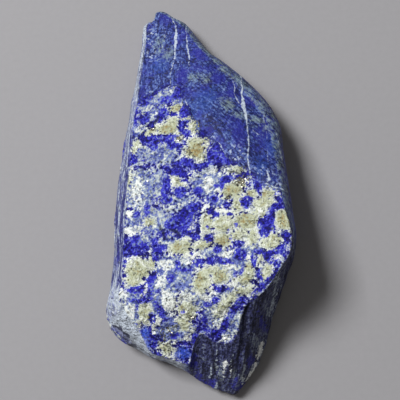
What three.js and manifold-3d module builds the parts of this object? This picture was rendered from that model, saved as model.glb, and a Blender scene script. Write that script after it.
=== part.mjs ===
// Rough lapis lazuli, a broken piece as long as a hand is wide.
//
// The stone is one closed body. It lies on its broad underside: the pointed end is towards +Y,
// the thick end towards -Y, and +Z is up. Sizes are in millimetres, and the origin is on the
// surface that the stone rests on, under the middle of its box.
//
// Its skin is one sheet over a ring of places around the stone. At each place a profile runs
// from the crown over the top faces to their brink, down the flank to the widest point, in under
// the flank, and back along the underside to the middle. The underside is then cut off flat.

import * as THREE from 'three';
import { mergeVertices } from 'three/addons/utils/BufferGeometryUtils.js';
import Module from 'manifold-3d';

// ---- driving dimensions --------------------------------------------------------------------

const LENGTH = 107.9;            // along Y, between the pointed end and the thick end
const WIDTH = 49.8;              // along X, at the thick end
const BELLY_DEPTH = 1.6;         // how far the rough underside bulges below the resting plane
const UNDERCUT_HEIGHT = 0.35;    // height of the foot's edge, as a share of the widest point's
const CROWN = [0, -3];           // where the profiles meet, on top and underneath
const EDGE_SOFTNESS = 0.7;       // how far the ridges between the top faces are worn down

const AROUND = 110;              // steps around the stone
const TOP_ROWS = 8;              // steps from the crown to the brink
const FLANK_ROWS = 6;            // steps from the brink to the widest point
const UNDERCUT_ROWS = 3;         // steps from the widest point to the foot
const BELLY_ROWS = 4;            // steps from the foot to the middle of the underside

const LAPIS = { color: 0x3a4396, roughness: 0.62, metalness: 0 };

// The places around the stone, clockwise from the pointed end as seen from above. Each row holds
// the widest point's x, y and height, the brink's x and y, how round the flank between them is
// (0 is a plane, 1 a quarter ellipse), and how far the foot draws in.
const RING = [
  // pointed end
  [-11.8, 54.6, 3.0, -12.2, 53.5, 0.4, 2.0],
  [-8.6, 52.3, 3.2, -9.5, 51.2, 0.6, 2.5],
  [-4.9, 49.5, 3.8, -6.1, 48.2, 0.8, 3.0],
  [-0.6, 43.3, 4.8, -2.2, 42.0, 0.9, 3.5],
  // worn edge on the right
  [2.8, 38.8, 5.6, 1.1, 37.2, 1.0, 4.0],
  [6.8, 35.2, 6.6, 4.7, 33.2, 1.0, 4.5],
  [13.3, 28.7, 7.6, 10.5, 26.3, 1.0, 5.0],
  [18.1, 22.6, 8.6, 14.8, 20.4, 1.0, 5.5],
  [21.2, 16.0, 10.0, 18.0, 14.8, 1.0, 6.0],
  [22.2, 8.0, 12.0, 19.4, 7.6, 1.0, 6.0],
  [23.2, 0.0, 14.0, 20.8, 0.0, 1.0, 6.0],
  [24.1, -7.0, 16.0, 22.0, -7.0, 0.9, 6.0],
  [24.6, -11.6, 15.0, 23.0, -11.6, 0.7, 5.5],
  [24.9, -14.2, 12.5, 23.7, -14.6, 0.5, 4.5],
  // dark fracture wall
  [24.4, -18.0, 10.0, 24.1, -17.8, 0.2, 3.5],
  [22.9, -21.8, 8.0, 23.6, -20.9, 0.1, 2.5],
  [20.9, -26.4, 6.5, 21.6, -24.6, 0.1, 2.0],
  [19.3, -30.6, 5.5, 19.6, -27.6, 0.2, 2.0],
  [18.0, -34.2, 5.0, 17.4, -30.0, 0.3, 2.0],
  [16.7, -38.2, 4.5, 14.6, -31.7, 0.3, 2.0],
  [15.4, -42.2, 4.0, 12.6, -33.3, 0.3, 2.0],
  [13.9, -46.0, 4.0, 11.0, -35.8, 0.3, 2.0],
  [12.0, -48.9, 3.5, 10.2, -38.3, 0.3, 2.0],
  [10.1, -51.2, 3.0, 9.0, -40.4, 0.3, 2.0],
  [8.0, -53.3, 3.0, 7.1, -41.2, 0.3, 2.0],
  [5.6, -52.9, 3.0, 5.0, -41.1, 0.3, 2.0],
  [3.2, -52.2, 3.0, 3.2, -40.5, 0.3, 2.0],
  // notch at the end of the wall
  [1.6, -51.4, 3.0, 1.7, -39.4, 0.3, 2.0],
  [0.4, -50.8, 3.0, 0.4, -39.4, 0.3, 2.0],
  [-0.8, -50.1, 3.0, -1.0, -41.2, 0.3, 2.0],
  [-1.9, -49.4, 3.2, -2.0, -43.6, 0.3, 2.0],
  [-3.2, -48.6, 3.6, -2.8, -46.2, 0.3, 2.0],
  // thick end, with its bevel
  [-5.8, -47.0, 4.5, -5.2, -45.8, 0.3, 2.0],
  [-9.0, -45.5, 5.0, -8.6, -44.4, 0.3, 2.5],
  [-13.4, -44.1, 5.0, -12.4, -43.0, 0.3, 3.0],
  [-17.8, -41.8, 5.0, -14.2, -39.4, 0.4, 3.0],
  [-22.0, -39.4, 5.6, -16.0, -36.0, 0.4, 3.5],
  [-24.4, -36.0, 7.0, -18.0, -33.4, 0.5, 4.0],
  [-24.8, -32.4, 8.2, -19.6, -30.6, 0.5, 4.0],
  // layered shoulder on the left
  [-23.8, -27.0, 9.0, -18.9, -25.6, 0.4, 4.0],
  [-23.0, -19.0, 9.0, -18.7, -18.0, 0.4, 4.0],
  [-23.0, -8.0, 9.0, -18.5, -8.0, 0.4, 4.0],
  [-22.5, 1.0, 8.5, -18.0, 2.0, 0.4, 4.0],
  [-21.4, 12.0, 7.8, -17.2, 12.0, 0.3, 3.5],
  [-20.1, 22.5, 6.8, -16.3, 22.0, 0.3, 3.0],
  [-18.7, 33.5, 5.6, -15.8, 33.0, 0.3, 2.5],
  [-17.5, 43.5, 4.4, -15.6, 42.6, 0.3, 2.0],
  [-16.7, 50.5, 3.2, -15.6, 49.6, 0.3, 1.5],
  // step beside the point
  [-14.7, 51.2, 3.2, -14.5, 50.4, 0.3, 1.5],
  [-14.3, 52.6, 3.0, -13.6, 52.0, 0.3, 1.5],
  [-13.9, 54.3, 3.0, -13.3, 53.5, 0.3, 1.5],
];

// ---- the top faces -------------------------------------------------------------------------

// Each top face is a plane: its height at a point, and its rise per millimetre along x and y.
const TOP_FACES = [
  { at: [0, 0], height: 19.5, rise: [0.17, -0.02] },          // broad broken face
  { at: [-10, 18], height: 17.5, rise: [0.1, -0.36] },        // fall towards the pointed end
  { at: [7, 11.5], height: 20.5, rise: [-0.37, -0.41] },      // worn face on the right
  { at: [0, -34], height: 17.5, rise: [0.085, 0.6] },         // fall towards the thick end
];

/** Height of the top at (x, y): the lowest of the faces there, with the ridges worn soft. */
function topHeight(x, y) {
  const sum = TOP_FACES.reduce((total, face) => {
    const height = face.height + face.rise[0] * (x - face.at[0]) + face.rise[1] * (y - face.at[1]);
    return total + Math.exp(-height / EDGE_SOFTNESS);
  }, 0);
  return -EDGE_SOFTNESS * Math.log(sum);
}

// ---- the skin ------------------------------------------------------------------------------

/** A closed smooth curve through three columns of the ring, read at a share of the way around. */
function ringCurve(pick) {
  return new THREE.CatmullRomCurve3(RING.map(pick), true, 'centripetal');
}

const WIDEST = ringCurve((row) => new THREE.Vector3(row[0], row[1], row[2]));
const BRINK = ringCurve((row) => new THREE.Vector3(row[3], row[4], 0));

/** A column of the ring that needs no smooth curve, read at a share of the way around. */
function ringValue(column, share) {
  const place = share * RING.length;
  const index = Math.floor(place) % RING.length;
  const next = (index + 1) % RING.length;
  return THREE.MathUtils.lerp(RING[index][column], RING[next][column], place - Math.floor(place));
}

/** The points of one profile, from just outside the crown to just short of the middle below. */
function profile(share) {
  const crown = new THREE.Vector3(CROWN[0], CROWN[1], 0);
  const widest = WIDEST.getPoint(share);
  const brink = BRINK.getPoint(share);
  const roundness = ringValue(5, share);
  const inset = ringValue(6, share);
  const points = [];

  for (let row = 1; row <= TOP_ROWS; row += 1) {
    const point = crown.clone().lerp(brink, row / TOP_ROWS);
    points.push(point.setZ(topHeight(point.x, point.y)));
  }

  const brinkHeight = topHeight(brink.x, brink.y);
  for (let row = 1; row <= FLANK_ROWS; row += 1) {
    const way = row / FLANK_ROWS;
    const turn = way * Math.PI / 2;
    const out = THREE.MathUtils.lerp(way, Math.sin(turn), roundness);
    const down = THREE.MathUtils.lerp(way, 1 - Math.cos(turn), roundness);
    const point = brink.clone().lerp(widest, out);
    points.push(point.setZ(THREE.MathUtils.lerp(brinkHeight, widest.z, down)));
  }

  const inwards = new THREE.Vector3(crown.x - widest.x, crown.y - widest.y, 0).setLength(inset);
  const footHeight = UNDERCUT_HEIGHT * widest.z;
  for (let row = 1; row <= UNDERCUT_ROWS; row += 1) {
    const turn = (row / UNDERCUT_ROWS) * Math.PI / 2;
    const point = widest.clone().addScaledVector(inwards, 1 - Math.cos(turn));
    points.push(point.setZ(THREE.MathUtils.lerp(widest.z, footHeight, Math.sin(turn))));
  }

  const foot = widest.clone().add(inwards);
  for (let row = BELLY_ROWS - 1; row >= 1; row -= 1) {
    const way = row / BELLY_ROWS;
    const point = crown.clone().lerp(foot, way);
    points.push(point.setZ(THREE.MathUtils.lerp(-BELLY_DEPTH, footHeight, way ** 3)));
  }
  return points;
}

/** The closed skin: the profiles joined side by side, with one point on the crown and one below. */
function roughSkin() {
  const profiles = Array.from({ length: AROUND }, (_, step) => profile(step / AROUND));
  const rows = profiles[0].length;
  const crownPoint = new THREE.Vector3(CROWN[0], CROWN[1], topHeight(...CROWN));
  const middleBelow = new THREE.Vector3(CROWN[0], CROWN[1], -BELLY_DEPTH);
  const points = [...profiles.flat(), crownPoint, middleBelow];
  const crownIndex = points.length - 2;
  const belowIndex = points.length - 1;

  // The profiles run clockwise, so these turns make every face point outwards.
  const triangles = [];
  for (let step = 0; step < AROUND; step += 1) {
    const here = step * rows;
    const next = ((step + 1) % AROUND) * rows;
    triangles.push(crownIndex, next, here);
    for (let row = 0; row + 1 < rows; row += 1) {
      triangles.push(here + row, next + row, here + row + 1);
      triangles.push(next + row, next + row + 1, here + row + 1);
    }
    triangles.push(here + rows - 1, next + rows - 1, belowIndex);
  }

  const skin = new THREE.BufferGeometry();
  skin.setAttribute('position', new THREE.Float32BufferAttribute(points.flatMap((p) => p.toArray()), 3));
  skin.setIndex(triangles);
  return skin;
}

// ---- the resting face ----------------------------------------------------------------------

/** Turns a closed geometry into a solid that can be cut. */
function toSolid(wasm, geometry) {
  const bare = geometry.clone();
  bare.deleteAttribute('normal');
  bare.deleteAttribute('uv');
  const merged = mergeVertices(bare);
  return new wasm.Manifold(new wasm.Mesh({
    numProp: 3,
    vertProperties: Float32Array.from(merged.attributes.position.array),
    triVerts: Uint32Array.from(merged.index.array),
  }));
}

/** Cuts away everything below the resting plane, which leaves one flat face there. */
function cutFlat(wasm, skin) {
  const depth = 4 * BELLY_DEPTH;
  const below = new THREE.BoxGeometry(2 * WIDTH, 2 * LENGTH, depth).translate(0, 0, -depth / 2);
  const mesh = toSolid(wasm, skin).subtract(toSolid(wasm, below)).getMesh();
  const cut = new THREE.BufferGeometry();
  cut.setAttribute('position', new THREE.BufferAttribute(Float32Array.from(mesh.vertProperties), 3));
  cut.setIndex(Array.from(mesh.triVerts));
  return cut;
}

/** Moves and stretches the geometry a hair, so that its box is exactly WIDTH by LENGTH, centred. */
function fitToSize(geometry) {
  geometry.computeBoundingBox();
  const size = geometry.boundingBox.getSize(new THREE.Vector3());
  const centre = geometry.boundingBox.getCenter(new THREE.Vector3());
  geometry.translate(-centre.x, -centre.y, 0);
  geometry.scale(WIDTH / size.x, LENGTH / size.y, 1);
  return geometry;
}

// ---- the stone -----------------------------------------------------------------------------

const wasm = await Module();
wasm.setup();

const stone = new THREE.Mesh(
  fitToSize(cutFlat(wasm, roughSkin())),
  new THREE.MeshStandardMaterial({ ...LAPIS, flatShading: true }),
);
stone.name = 'lapis_stone';

const group = new THREE.Group();
group.add(stone);

export default group;
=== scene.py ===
"""Rough lapis lazuli: the fine surface, finish and setting of one broken piece of stone.

The stone is one sheet over a ring of places around it. Lengths in the shape functions are in
millimetres, in the ring's own frame: x across, y along towards the pointed end, z up from the
resting plane. The sheet is fitted to the box of the solid stone as the last step.
"""

import bpy
import numpy as np
from bpy.props import FloatProperty, FloatVectorProperty, IntProperty, PointerProperty
from mathutils import Matrix, Vector


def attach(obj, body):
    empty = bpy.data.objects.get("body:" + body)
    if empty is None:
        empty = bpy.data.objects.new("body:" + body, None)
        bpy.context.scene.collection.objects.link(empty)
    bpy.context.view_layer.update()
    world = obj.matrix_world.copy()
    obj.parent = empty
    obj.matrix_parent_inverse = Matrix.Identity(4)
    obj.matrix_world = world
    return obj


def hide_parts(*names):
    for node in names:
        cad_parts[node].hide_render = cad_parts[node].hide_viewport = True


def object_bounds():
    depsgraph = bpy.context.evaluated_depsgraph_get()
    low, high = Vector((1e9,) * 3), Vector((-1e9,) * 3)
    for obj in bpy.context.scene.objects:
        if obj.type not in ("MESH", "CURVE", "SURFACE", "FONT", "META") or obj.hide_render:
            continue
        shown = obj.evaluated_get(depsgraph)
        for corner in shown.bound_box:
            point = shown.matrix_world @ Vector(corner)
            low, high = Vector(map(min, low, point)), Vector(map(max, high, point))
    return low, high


bl_info = {
    "name": "Rough lapis lazuli",
    "version": (1, 0, 0),
    "blender": (4, 5, 0),
    "location": "3D View > Sidebar > Lapis",
    "description": "Builds a broken piece of rough lapis lazuli with pyrite grains, and its setting",
    "category": "Add Mesh",
}

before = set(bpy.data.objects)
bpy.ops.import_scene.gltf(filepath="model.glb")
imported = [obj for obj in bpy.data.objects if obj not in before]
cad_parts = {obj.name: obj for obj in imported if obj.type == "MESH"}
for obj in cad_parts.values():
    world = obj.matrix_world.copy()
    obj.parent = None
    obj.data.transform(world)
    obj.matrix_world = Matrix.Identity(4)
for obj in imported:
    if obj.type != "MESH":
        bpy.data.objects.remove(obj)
CAD_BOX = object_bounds()

MM = 0.001
BODY = "root"
STONE_NODE = "lapis_stone"
STONE_PIECE = "rough_lapis"

# ---- the form of the stone -----------------------------------------------------------------

BELLY_DEPTH = 1.6        # how far the rough underside bulges below the resting plane
UNDERCUT_HEIGHT = 0.35   # height of the foot's edge, as a share of the widest point's
CROWN = (0.0, -3.0)      # where the profiles meet, on top and underneath
EDGE_SOFTNESS = 0.7      # how far the ridges between the top faces are worn down

# The places around the stone, clockwise from the pointed end as seen from above. Each row holds
# the widest point's x, y and height, the brink's x and y, how round the flank between them is
# (0 is a plane, 1 a quarter ellipse), and how far the foot draws in.
RING = np.array([
    # pointed end
    (-11.8, 54.6, 3.0, -12.2, 53.5, 0.4, 2.0),
    (-8.6, 52.3, 3.2, -9.5, 51.2, 0.6, 2.5),
    (-4.9, 49.5, 3.8, -6.1, 48.2, 0.8, 3.0),
    (-0.6, 43.3, 4.8, -2.2, 42.0, 0.9, 3.5),
    # worn edge on the right
    (2.8, 38.8, 5.6, 1.1, 37.2, 1.0, 4.0),
    (6.8, 35.2, 6.6, 4.7, 33.2, 1.0, 4.5),
    (13.3, 28.7, 7.6, 10.5, 26.3, 1.0, 5.0),
    (18.1, 22.6, 8.6, 14.8, 20.4, 1.0, 5.5),
    (21.2, 16.0, 10.0, 18.0, 14.8, 1.0, 6.0),
    (22.2, 8.0, 12.0, 19.4, 7.6, 1.0, 6.0),
    (23.2, 0.0, 14.0, 20.8, 0.0, 1.0, 6.0),
    (24.1, -7.0, 16.0, 22.0, -7.0, 0.9, 6.0),
    (24.6, -11.6, 15.0, 23.0, -11.6, 0.7, 5.5),
    (24.9, -14.2, 12.5, 23.7, -14.6, 0.5, 4.5),
    # dark fracture wall
    (24.4, -18.0, 10.0, 24.1, -17.8, 0.2, 3.5),
    (22.9, -21.8, 8.0, 23.6, -20.9, 0.1, 2.5),
    (20.9, -26.4, 6.5, 21.6, -24.6, 0.1, 2.0),
    (19.3, -30.6, 5.5, 19.6, -27.6, 0.2, 2.0),
    (18.0, -34.2, 5.0, 17.4, -30.0, 0.3, 2.0),
    (16.7, -38.2, 4.5, 14.6, -31.7, 0.3, 2.0),
    (15.4, -42.2, 4.0, 12.6, -33.3, 0.3, 2.0),
    (13.9, -46.0, 4.0, 11.0, -35.8, 0.3, 2.0),
    (12.0, -48.9, 3.5, 10.2, -38.3, 0.3, 2.0),
    (10.1, -51.2, 3.0, 9.0, -40.4, 0.3, 2.0),
    (8.0, -53.3, 3.0, 7.1, -41.2, 0.3, 2.0),
    (5.6, -52.9, 3.0, 5.0, -41.1, 0.3, 2.0),
    (3.2, -52.2, 3.0, 3.2, -40.5, 0.3, 2.0),
    # notch at the end of the wall
    (1.6, -51.4, 3.0, 1.7, -39.4, 0.3, 2.0),
    (0.4, -50.8, 3.0, 0.4, -39.4, 0.3, 2.0),
    (-0.8, -50.1, 3.0, -1.0, -41.2, 0.3, 2.0),
    (-1.9, -49.4, 3.2, -2.0, -43.6, 0.3, 2.0),
    (-3.2, -48.6, 3.6, -2.8, -46.2, 0.3, 2.0),
    # thick end, with its bevel
    (-5.8, -47.0, 4.5, -5.2, -45.8, 0.3, 2.0),
    (-9.0, -45.5, 5.0, -8.6, -44.4, 0.3, 2.5),
    (-13.4, -44.1, 5.0, -12.4, -43.0, 0.3, 3.0),
    (-17.8, -41.8, 5.0, -14.2, -39.4, 0.4, 3.0),
    (-22.0, -39.4, 5.6, -16.0, -36.0, 0.4, 3.5),
    (-24.4, -36.0, 7.0, -18.0, -33.4, 0.5, 4.0),
    (-24.8, -32.4, 8.2, -19.6, -30.6, 0.5, 4.0),
    # layered shoulder on the left
    (-23.8, -27.0, 9.0, -18.9, -25.6, 0.4, 4.0),
    (-23.0, -19.0, 9.0, -18.7, -18.0, 0.4, 4.0),
    (-23.0, -8.0, 9.0, -18.5, -8.0, 0.4, 4.0),
    (-22.5, 1.0, 8.5, -18.0, 2.0, 0.4, 4.0),
    (-21.4, 12.0, 7.8, -17.2, 12.0, 0.3, 3.5),
    (-20.1, 22.5, 6.8, -16.3, 22.0, 0.3, 3.0),
    (-18.7, 33.5, 5.6, -15.8, 33.0, 0.3, 2.5),
    (-17.5, 43.5, 4.4, -15.6, 42.6, 0.3, 2.0),
    (-16.7, 50.5, 3.2, -15.6, 49.6, 0.3, 1.5),
    # step beside the point
    (-14.7, 51.2, 3.2, -14.5, 50.4, 0.3, 1.5),
    (-14.3, 52.6, 3.0, -13.6, 52.0, 0.3, 1.5),
    (-13.9, 54.3, 3.0, -13.3, 53.5, 0.3, 1.5),
])

# Where the stretches of the ring start and stop, as places in RING.
WALL_STRETCH = (13.4, 31.2)
BEVEL_STRETCH = (31.6, 38.6)
SHOULDER_STRETCH = (37.4, 47.6)

# What comes or goes gradually between two places of the ring.
WALL_EDGE_STEADIES = (16.0, 20.0)    # the wall's edge stops wandering
RIBS_DEEPEN = (21.5, 25.0)           # the wall's ribs become strong
KNOB_ENDS = (38.5, 40.0)             # the pale knob between the bevel and the shoulder
SHOULDER_PALES = (41.0, 42.5)        # the shoulder's rind becomes pale
SHOULDER_SHADE_ENDS = (42.5, 44.0)   # the dark stretch along the shoulder's upper half

# The same between two ways down a profile, where 1 is the brink, 2 the widest point and 3 the foot.
TOP_ENDS = (1.0, 1.06)
TOP_MARKS_END = (1.1, 1.45)          # the listed patches give way to noise
FLANK_STARTS = (0.99, 1.03)
FLANK_ENDS = (3.0, 3.3)
SHOULDER_SHADE_SINKS = (1.25, 1.6)   # the lower edge of the shoulder's dark stretch
RIND_PALES = (1.75, 2.0)             # the pale edge of the rind
CRACK_SHADES_END = (1.98, 2.1)
BELLY_STARTS = (2.9, 3.3)

# Each top face is a plane: a point of it, its height there, and its rise along x and y.
TOP_FACES = (
    ((0.0, 0.0), 19.5, (0.17, -0.02)),       # broad broken face
    ((-10.0, 18.0), 17.5, (0.1, -0.36)),     # fall towards the pointed end
    ((7.0, 11.5), 20.5, (-0.37, -0.41)),     # worn face on the right
    ((0.0, -34.0), 17.5, (0.085, 0.6)),      # fall towards the thick end
)

# The stone grew in steep layers. A layer's number is x + (LAYER_TURN + LAYER_FAN x) y - LAYER_LEAN z.
LAYER_TURN = -0.013
LAYER_FAN = 0.0038
LAYER_LEAN = 0.32

# The worn skin ends along this line, from left to right, as x and y. The broken face is below it.
SKIN_LINE = np.array([
    (-17.5, 22.0), (-13.0, 25.0), (-8.0, 27.0), (-5.5, 26.5), (-3.0, 20.0), (0.0, 14.0),
    (2.5, 10.5), (6.5, 6.5), (10.5, 2.5), (14.5, 0.5), (18.0, -3.0), (23.5, -5.5),
])
# A thin shell of the worn skin stands proud of the broken face along this line.
LIP_LINE = np.array([(-3.0, -2.0), (0.5, 0.0), (4.0, 1.5), (8.5, 2.0), (12.0, 1.0), (14.5, -1.5)])
LIP_DROP = 0.9
LIP_FADE = 6.0

GROOVE_LAYER = 5.4       # the layer number along which the fracture wall is cleft deepest
GROOVE_DEPTH = 0.7
GROOVE_WIDTH = 0.6
LEDGE_WIDTH = 1.7        # the shoulder has one ledge for so many layer numbers
WIDEST_BAND = 0.4        # how far from the widest line relief is held back, in ways down a profile
MARK_DRIFT = 0.35        # how far the edges of the marks wander

CREAM_HEIGHT = 0.3       # how far the cream patches stand proud of the broken face
UNDERCUT_ROWS = 8        # mesh rows from the widest point to the foot
BELLY_ROWS = 26          # mesh rows from the foot to the middle below

GRAIN_SEED = 7
SMALLEST_GRAIN = 0.5     # width of the smallest pyrite grain, as a share of the largest's
CORNERS_DRAWN_IN = 0.7   # how near its middle a grain's corner may come, as a share of a cube's
GRAINS_STAND_OUT = 0.4   # how far a grain's middle stands out, as a share of half its width
# A cube's six sides, by the numbers of its corners in the order of np.ndindex(2, 2, 2).
CUBE_SIDES = np.array([
    (0, 1, 3, 2), (4, 6, 7, 5), (0, 4, 5, 1), (2, 3, 7, 6), (0, 2, 6, 4), (1, 5, 7, 3),
])

# ---- the marks on the stone ----------------------------------------------------------------


def ellipses(*rows):
    """Patches as an array. The turn of a row's length is 0 where the row leaves it out."""
    return np.array([(*row, 0)[:5] for row in rows])


def strokes(*rows):
    """Lines as arrays of points, each with its x, its y and half the line's width there."""
    return [np.array(row) for row in rows]


# Patches of the top face. Each has its middle's x and y, its half length, its half width, and the
# turn of its length in degrees. Tan stands in the middle of cream, chalk is white calcite with two
# small painted glints, haze is a fine mix of grey and blue grains, and deep is the darkest blue.
CREAM_PATCHES = ellipses(
    # towards the point
    (-5.2, 19.4, 1.7, 1.4), (-7.3, 13.6, 2.8, 1.6), (-12.0, 13.4, 1.9, 0.8, 20),
    (-6.0, 15.6, 1.4, 0.9), (-4.2, 11.3, 0.6, 1.0), (-0.2, 13.4, 1.5, 1.7), (-2.0, 15.8, 1.2, 0.4),
    (0.2, 9.0, 1.8, 1.4), (0.0, 6.8, 2.6, 1.8), (1.3, 5.0, 1.5, 1.2), (2.8, 9.6, 0.9, 0.7),
    (-16.1, 9.4, 1.8, 0.6, 75), (-4.9, -0.7, 1.0, 1.0), (-3.8, -1.9, 0.6, 0.6),
    (-17.8, 0.0, 1.2, 0.5, 70),
    # high on the right
    (11.0, 0.9, 2.0, 0.6), (9.8, -4.2, 3.0, 1.6, 25), (10.9, -7.5, 1.1, 2.4),
    (14.2, -6.0, 1.4, 1.0), (18.6, -6.3, 1.7, 1.1), (17.3, -8.4, 2.4, 1.3), (16.4, -11.0, 1.8, 1.2),
    (13.0, -12.6, 2.7, 2.1), (7.5, -13.0, 2.5, 2.0), (7.0, -17.0, 2.2, 1.5),
    (11.3, -16.0, 2.0, 1.1), (14.6, -17.0, 1.0, 2.0), (3.2, -12.5, 1.2, 2.4),
    (2.3, -18.1, 2.6, 1.1, 5), (22.4, -13.0, 1.8, 2.6), (19.3, -18.3, 2.3, 1.9),
    (16.4, -22.3, 0.6, 1.2),
    # left and middle
    (-14.6, -23.2, 2.9, 2.5), (-15.8, -26.0, 1.8, 1.2), (-11.4, -21.8, 1.2, 1.4),
    (-3.5, -18.1, 2.8, 1.8), (-11.8, -11.2, 1.3, 1.0), (1.9, -27.2, 1.9, 2.7),
    (6.7, -26.2, 1.8, 1.6), (4.5, -24.6, 2.4, 0.8),
    # towards the thick end
    (13.6, -25.5, 1.2, 2.6), (12.5, -27.4, 1.8, 1.2), (17.8, -25.6, 2.2, 0.9, 60),
    (7.5, -32.6, 3.0, 1.0, 38), (12.0, -29.9, 2.2, 0.8, 12), (5.6, -35.2, 0.7, 0.5),
    (-13.1, -34.0, 1.6, 2.6), (-2.4, -33.6, 2.0, 1.7), (-3.4, -37.0, 1.4, 1.6),
    (-8.5, -42.4, 1.8, 1.0, -15),
)
TAN_PATCHES = ellipses(
    (18.6, -6.3, 1.8, 1.2), (13.0, -12.8, 2.4, 1.8), (7.2, -17.4, 1.8, 1.2),
    (-3.8, -18.2, 1.5, 1.2), (-14.6, -24.3, 2.2, 1.4), (22.2, -13.5, 1.6, 2.2),
    (9.2, -4.3, 2.4, 1.2, 20), (0.2, 7.2, 2.6, 2.2), (-6.8, 13.6, 2.2, 1.5), (6.7, -26.3, 1.1, 1.0),
    (1.3, -26.6, 1.0, 1.6), (-5.2, 19.0, 1.4, 1.2),
)
CHALK_AND_GLINT_PATCHES = ellipses(
    (-15.6, -2.6, 1.8, 3.0), (-14.6, -5.6, 1.4, 1.4), (2.6, 1.1, 3.0, 0.5, 12),
    (3.2, -2.2, 1.3, 2.0), (8.0, 0.4, 1.6, 0.4), (5.8, -4.1, 1.0, 0.7), (3.0, -8.1, 1.1, 0.6),
    (8.8, -7.3, 0.8, 0.4), (7.0, -9.3, 2.2, 0.7), (19.6, -2.5, 0.3, 1.4), (13.7, -18.2, 1.1, 1.1),
    (8.0, -20.5, 1.3, 1.0), (13.7, -21.5, 0.6, 2.0), (-17.2, -13.2, 2.4, 1.1),
    (-13.5, -12.4, 2.6, 0.9), (-3.5, -7.0, 1.4, 0.4, 10), (-7.6, -17.0, 1.6, 0.6),
    (-7.5, -22.5, 1.6, 1.2), (-8.4, -26.5, 1.6, 1.5), (-2.5, -22.2, 1.4, 0.4),
    (-14.5, -20.2, 1.6, 0.4), (-17.4, -8.8, 1.1, 0.8), (-2.0, -20.0, 1.1, 0.6),
    (0.8, -20.6, 1.2, 0.6), (-16.0, -33.2, 1.0, 1.5), (-17.4, -34.2, 1.7, 1.7),
    (-6.6, -32.0, 4.0, 1.9, -55), (-2.6, -30.8, 2.2, 1.7), (2.6, -31.0, 1.4, 1.1),
    (-18.4, -30.2, 0.9, 2.0), (-6.0, -41.4, 0.7, 0.6), (-12.8, -28.4, 0.7, 0.8),
    (-2.8, -39.9, 1.0, 0.8), (-9.6, -36.0, 0.8, 1.3), (-11.0, -37.6, 0.7, 1.2),
    (8.8, -23.8, 0.8, 0.5), (11.5, -23.4, 1.5, 0.4, 50), (6.2, -40.5, 1.6, 0.3, 12),
    (5.2, -36.8, 1.1, 1.2), (20.6, -22.8, 0.8, 0.7), (5.2, -34.4, 1.5, 0.6, 20),
    # (-2.4, 13.4) and (-8.5, -45.2) are painted glints: white dots where light glances off a crystal.
    (9.5, -28.4, 1.5, 0.6), (4.2, -29.4, 1.1, 1.2), (-2.4, 13.4, 0.4, 0.4),
    (-14.9, 14.4, 1.2, 0.3, 60), (-11.8, 17.4, 0.9, 0.3, 45), (-8.5, -45.2, 0.8, 0.4),
)
HAZE_PATCHES = ellipses(
    (-14.0, 20.4, 2.0, 1.5), (-11.3, 18.6, 2.4, 1.6, 50), (-15.6, 13.6, 2.2, 1.4, 60),
    (-8.0, 24.9, 2.2, 1.6), (-10.5, 22.6, 3.0, 1.6, 30), (-5.0, 21.6, 1.6, 2.4, 20),
    (6.0, 7.6, 1.4, 3.2, 30), (-14.2, 7.6, 2.6, 1.6), (-9.0, 6.6, 5.0, 2.6),
    (-14.6, -2.5, 4.0, 6.0), (-12.0, -11.0, 7.0, 3.4), (3.5, -2.0, 4.5, 3.5),
    (-9.6, -0.6, 2.2, 3.6), (6.2, -7.3, 2.2, 1.4), (-3.2, -6.4, 3.4, 1.6, 10),
    (-6.6, -16.8, 3.6, 1.4), (-12.4, -15.6, 2.0, 1.4), (-6.0, -23.0, 5.0, 3.0),
    (-3.0, -26.5, 3.0, 3.2), (-8.0, -30.0, 4.0, 6.0, -20), (0.0, -31.0, 4.0, 3.0),
    (4.5, -20.0, 4.0, 1.4), (9.0, -24.0, 5.0, 3.0, 20), (-16.5, -32.0, 3.0, 5.0),
    (-6.0, -38.0, 5.0, 3.0), (9.5, -30.5, 4.5, 2.0, 30), (4.4, -35.0, 2.6, 3.0),
    (14.5, -20.0, 3.0, 2.4), (9.2, -37.4, 3.4, 1.4, 58), (7.4, -39.9, 2.2, 1.0, 20),
    (-3.4, -11.4, 3.2, 1.6, 12), (18.5, -3.5, 2.4, 1.4, -30), (-13.6, 24.6, 2.0, 0.8, 20),
    (-9.0, 21.0, 2.4, 0.7, 40),
    # edges of the worn skin
    (-14.2, 46.0, 1.4, 5.0), (-13.5, 38.5, 1.6, 3.0, 10), (17.5, -0.5, 3.0, 2.0, -30),
    (20.5, -3.6, 2.4, 1.6, -40), (11.0, 5.0, 2.0, 3.0),
)
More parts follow.
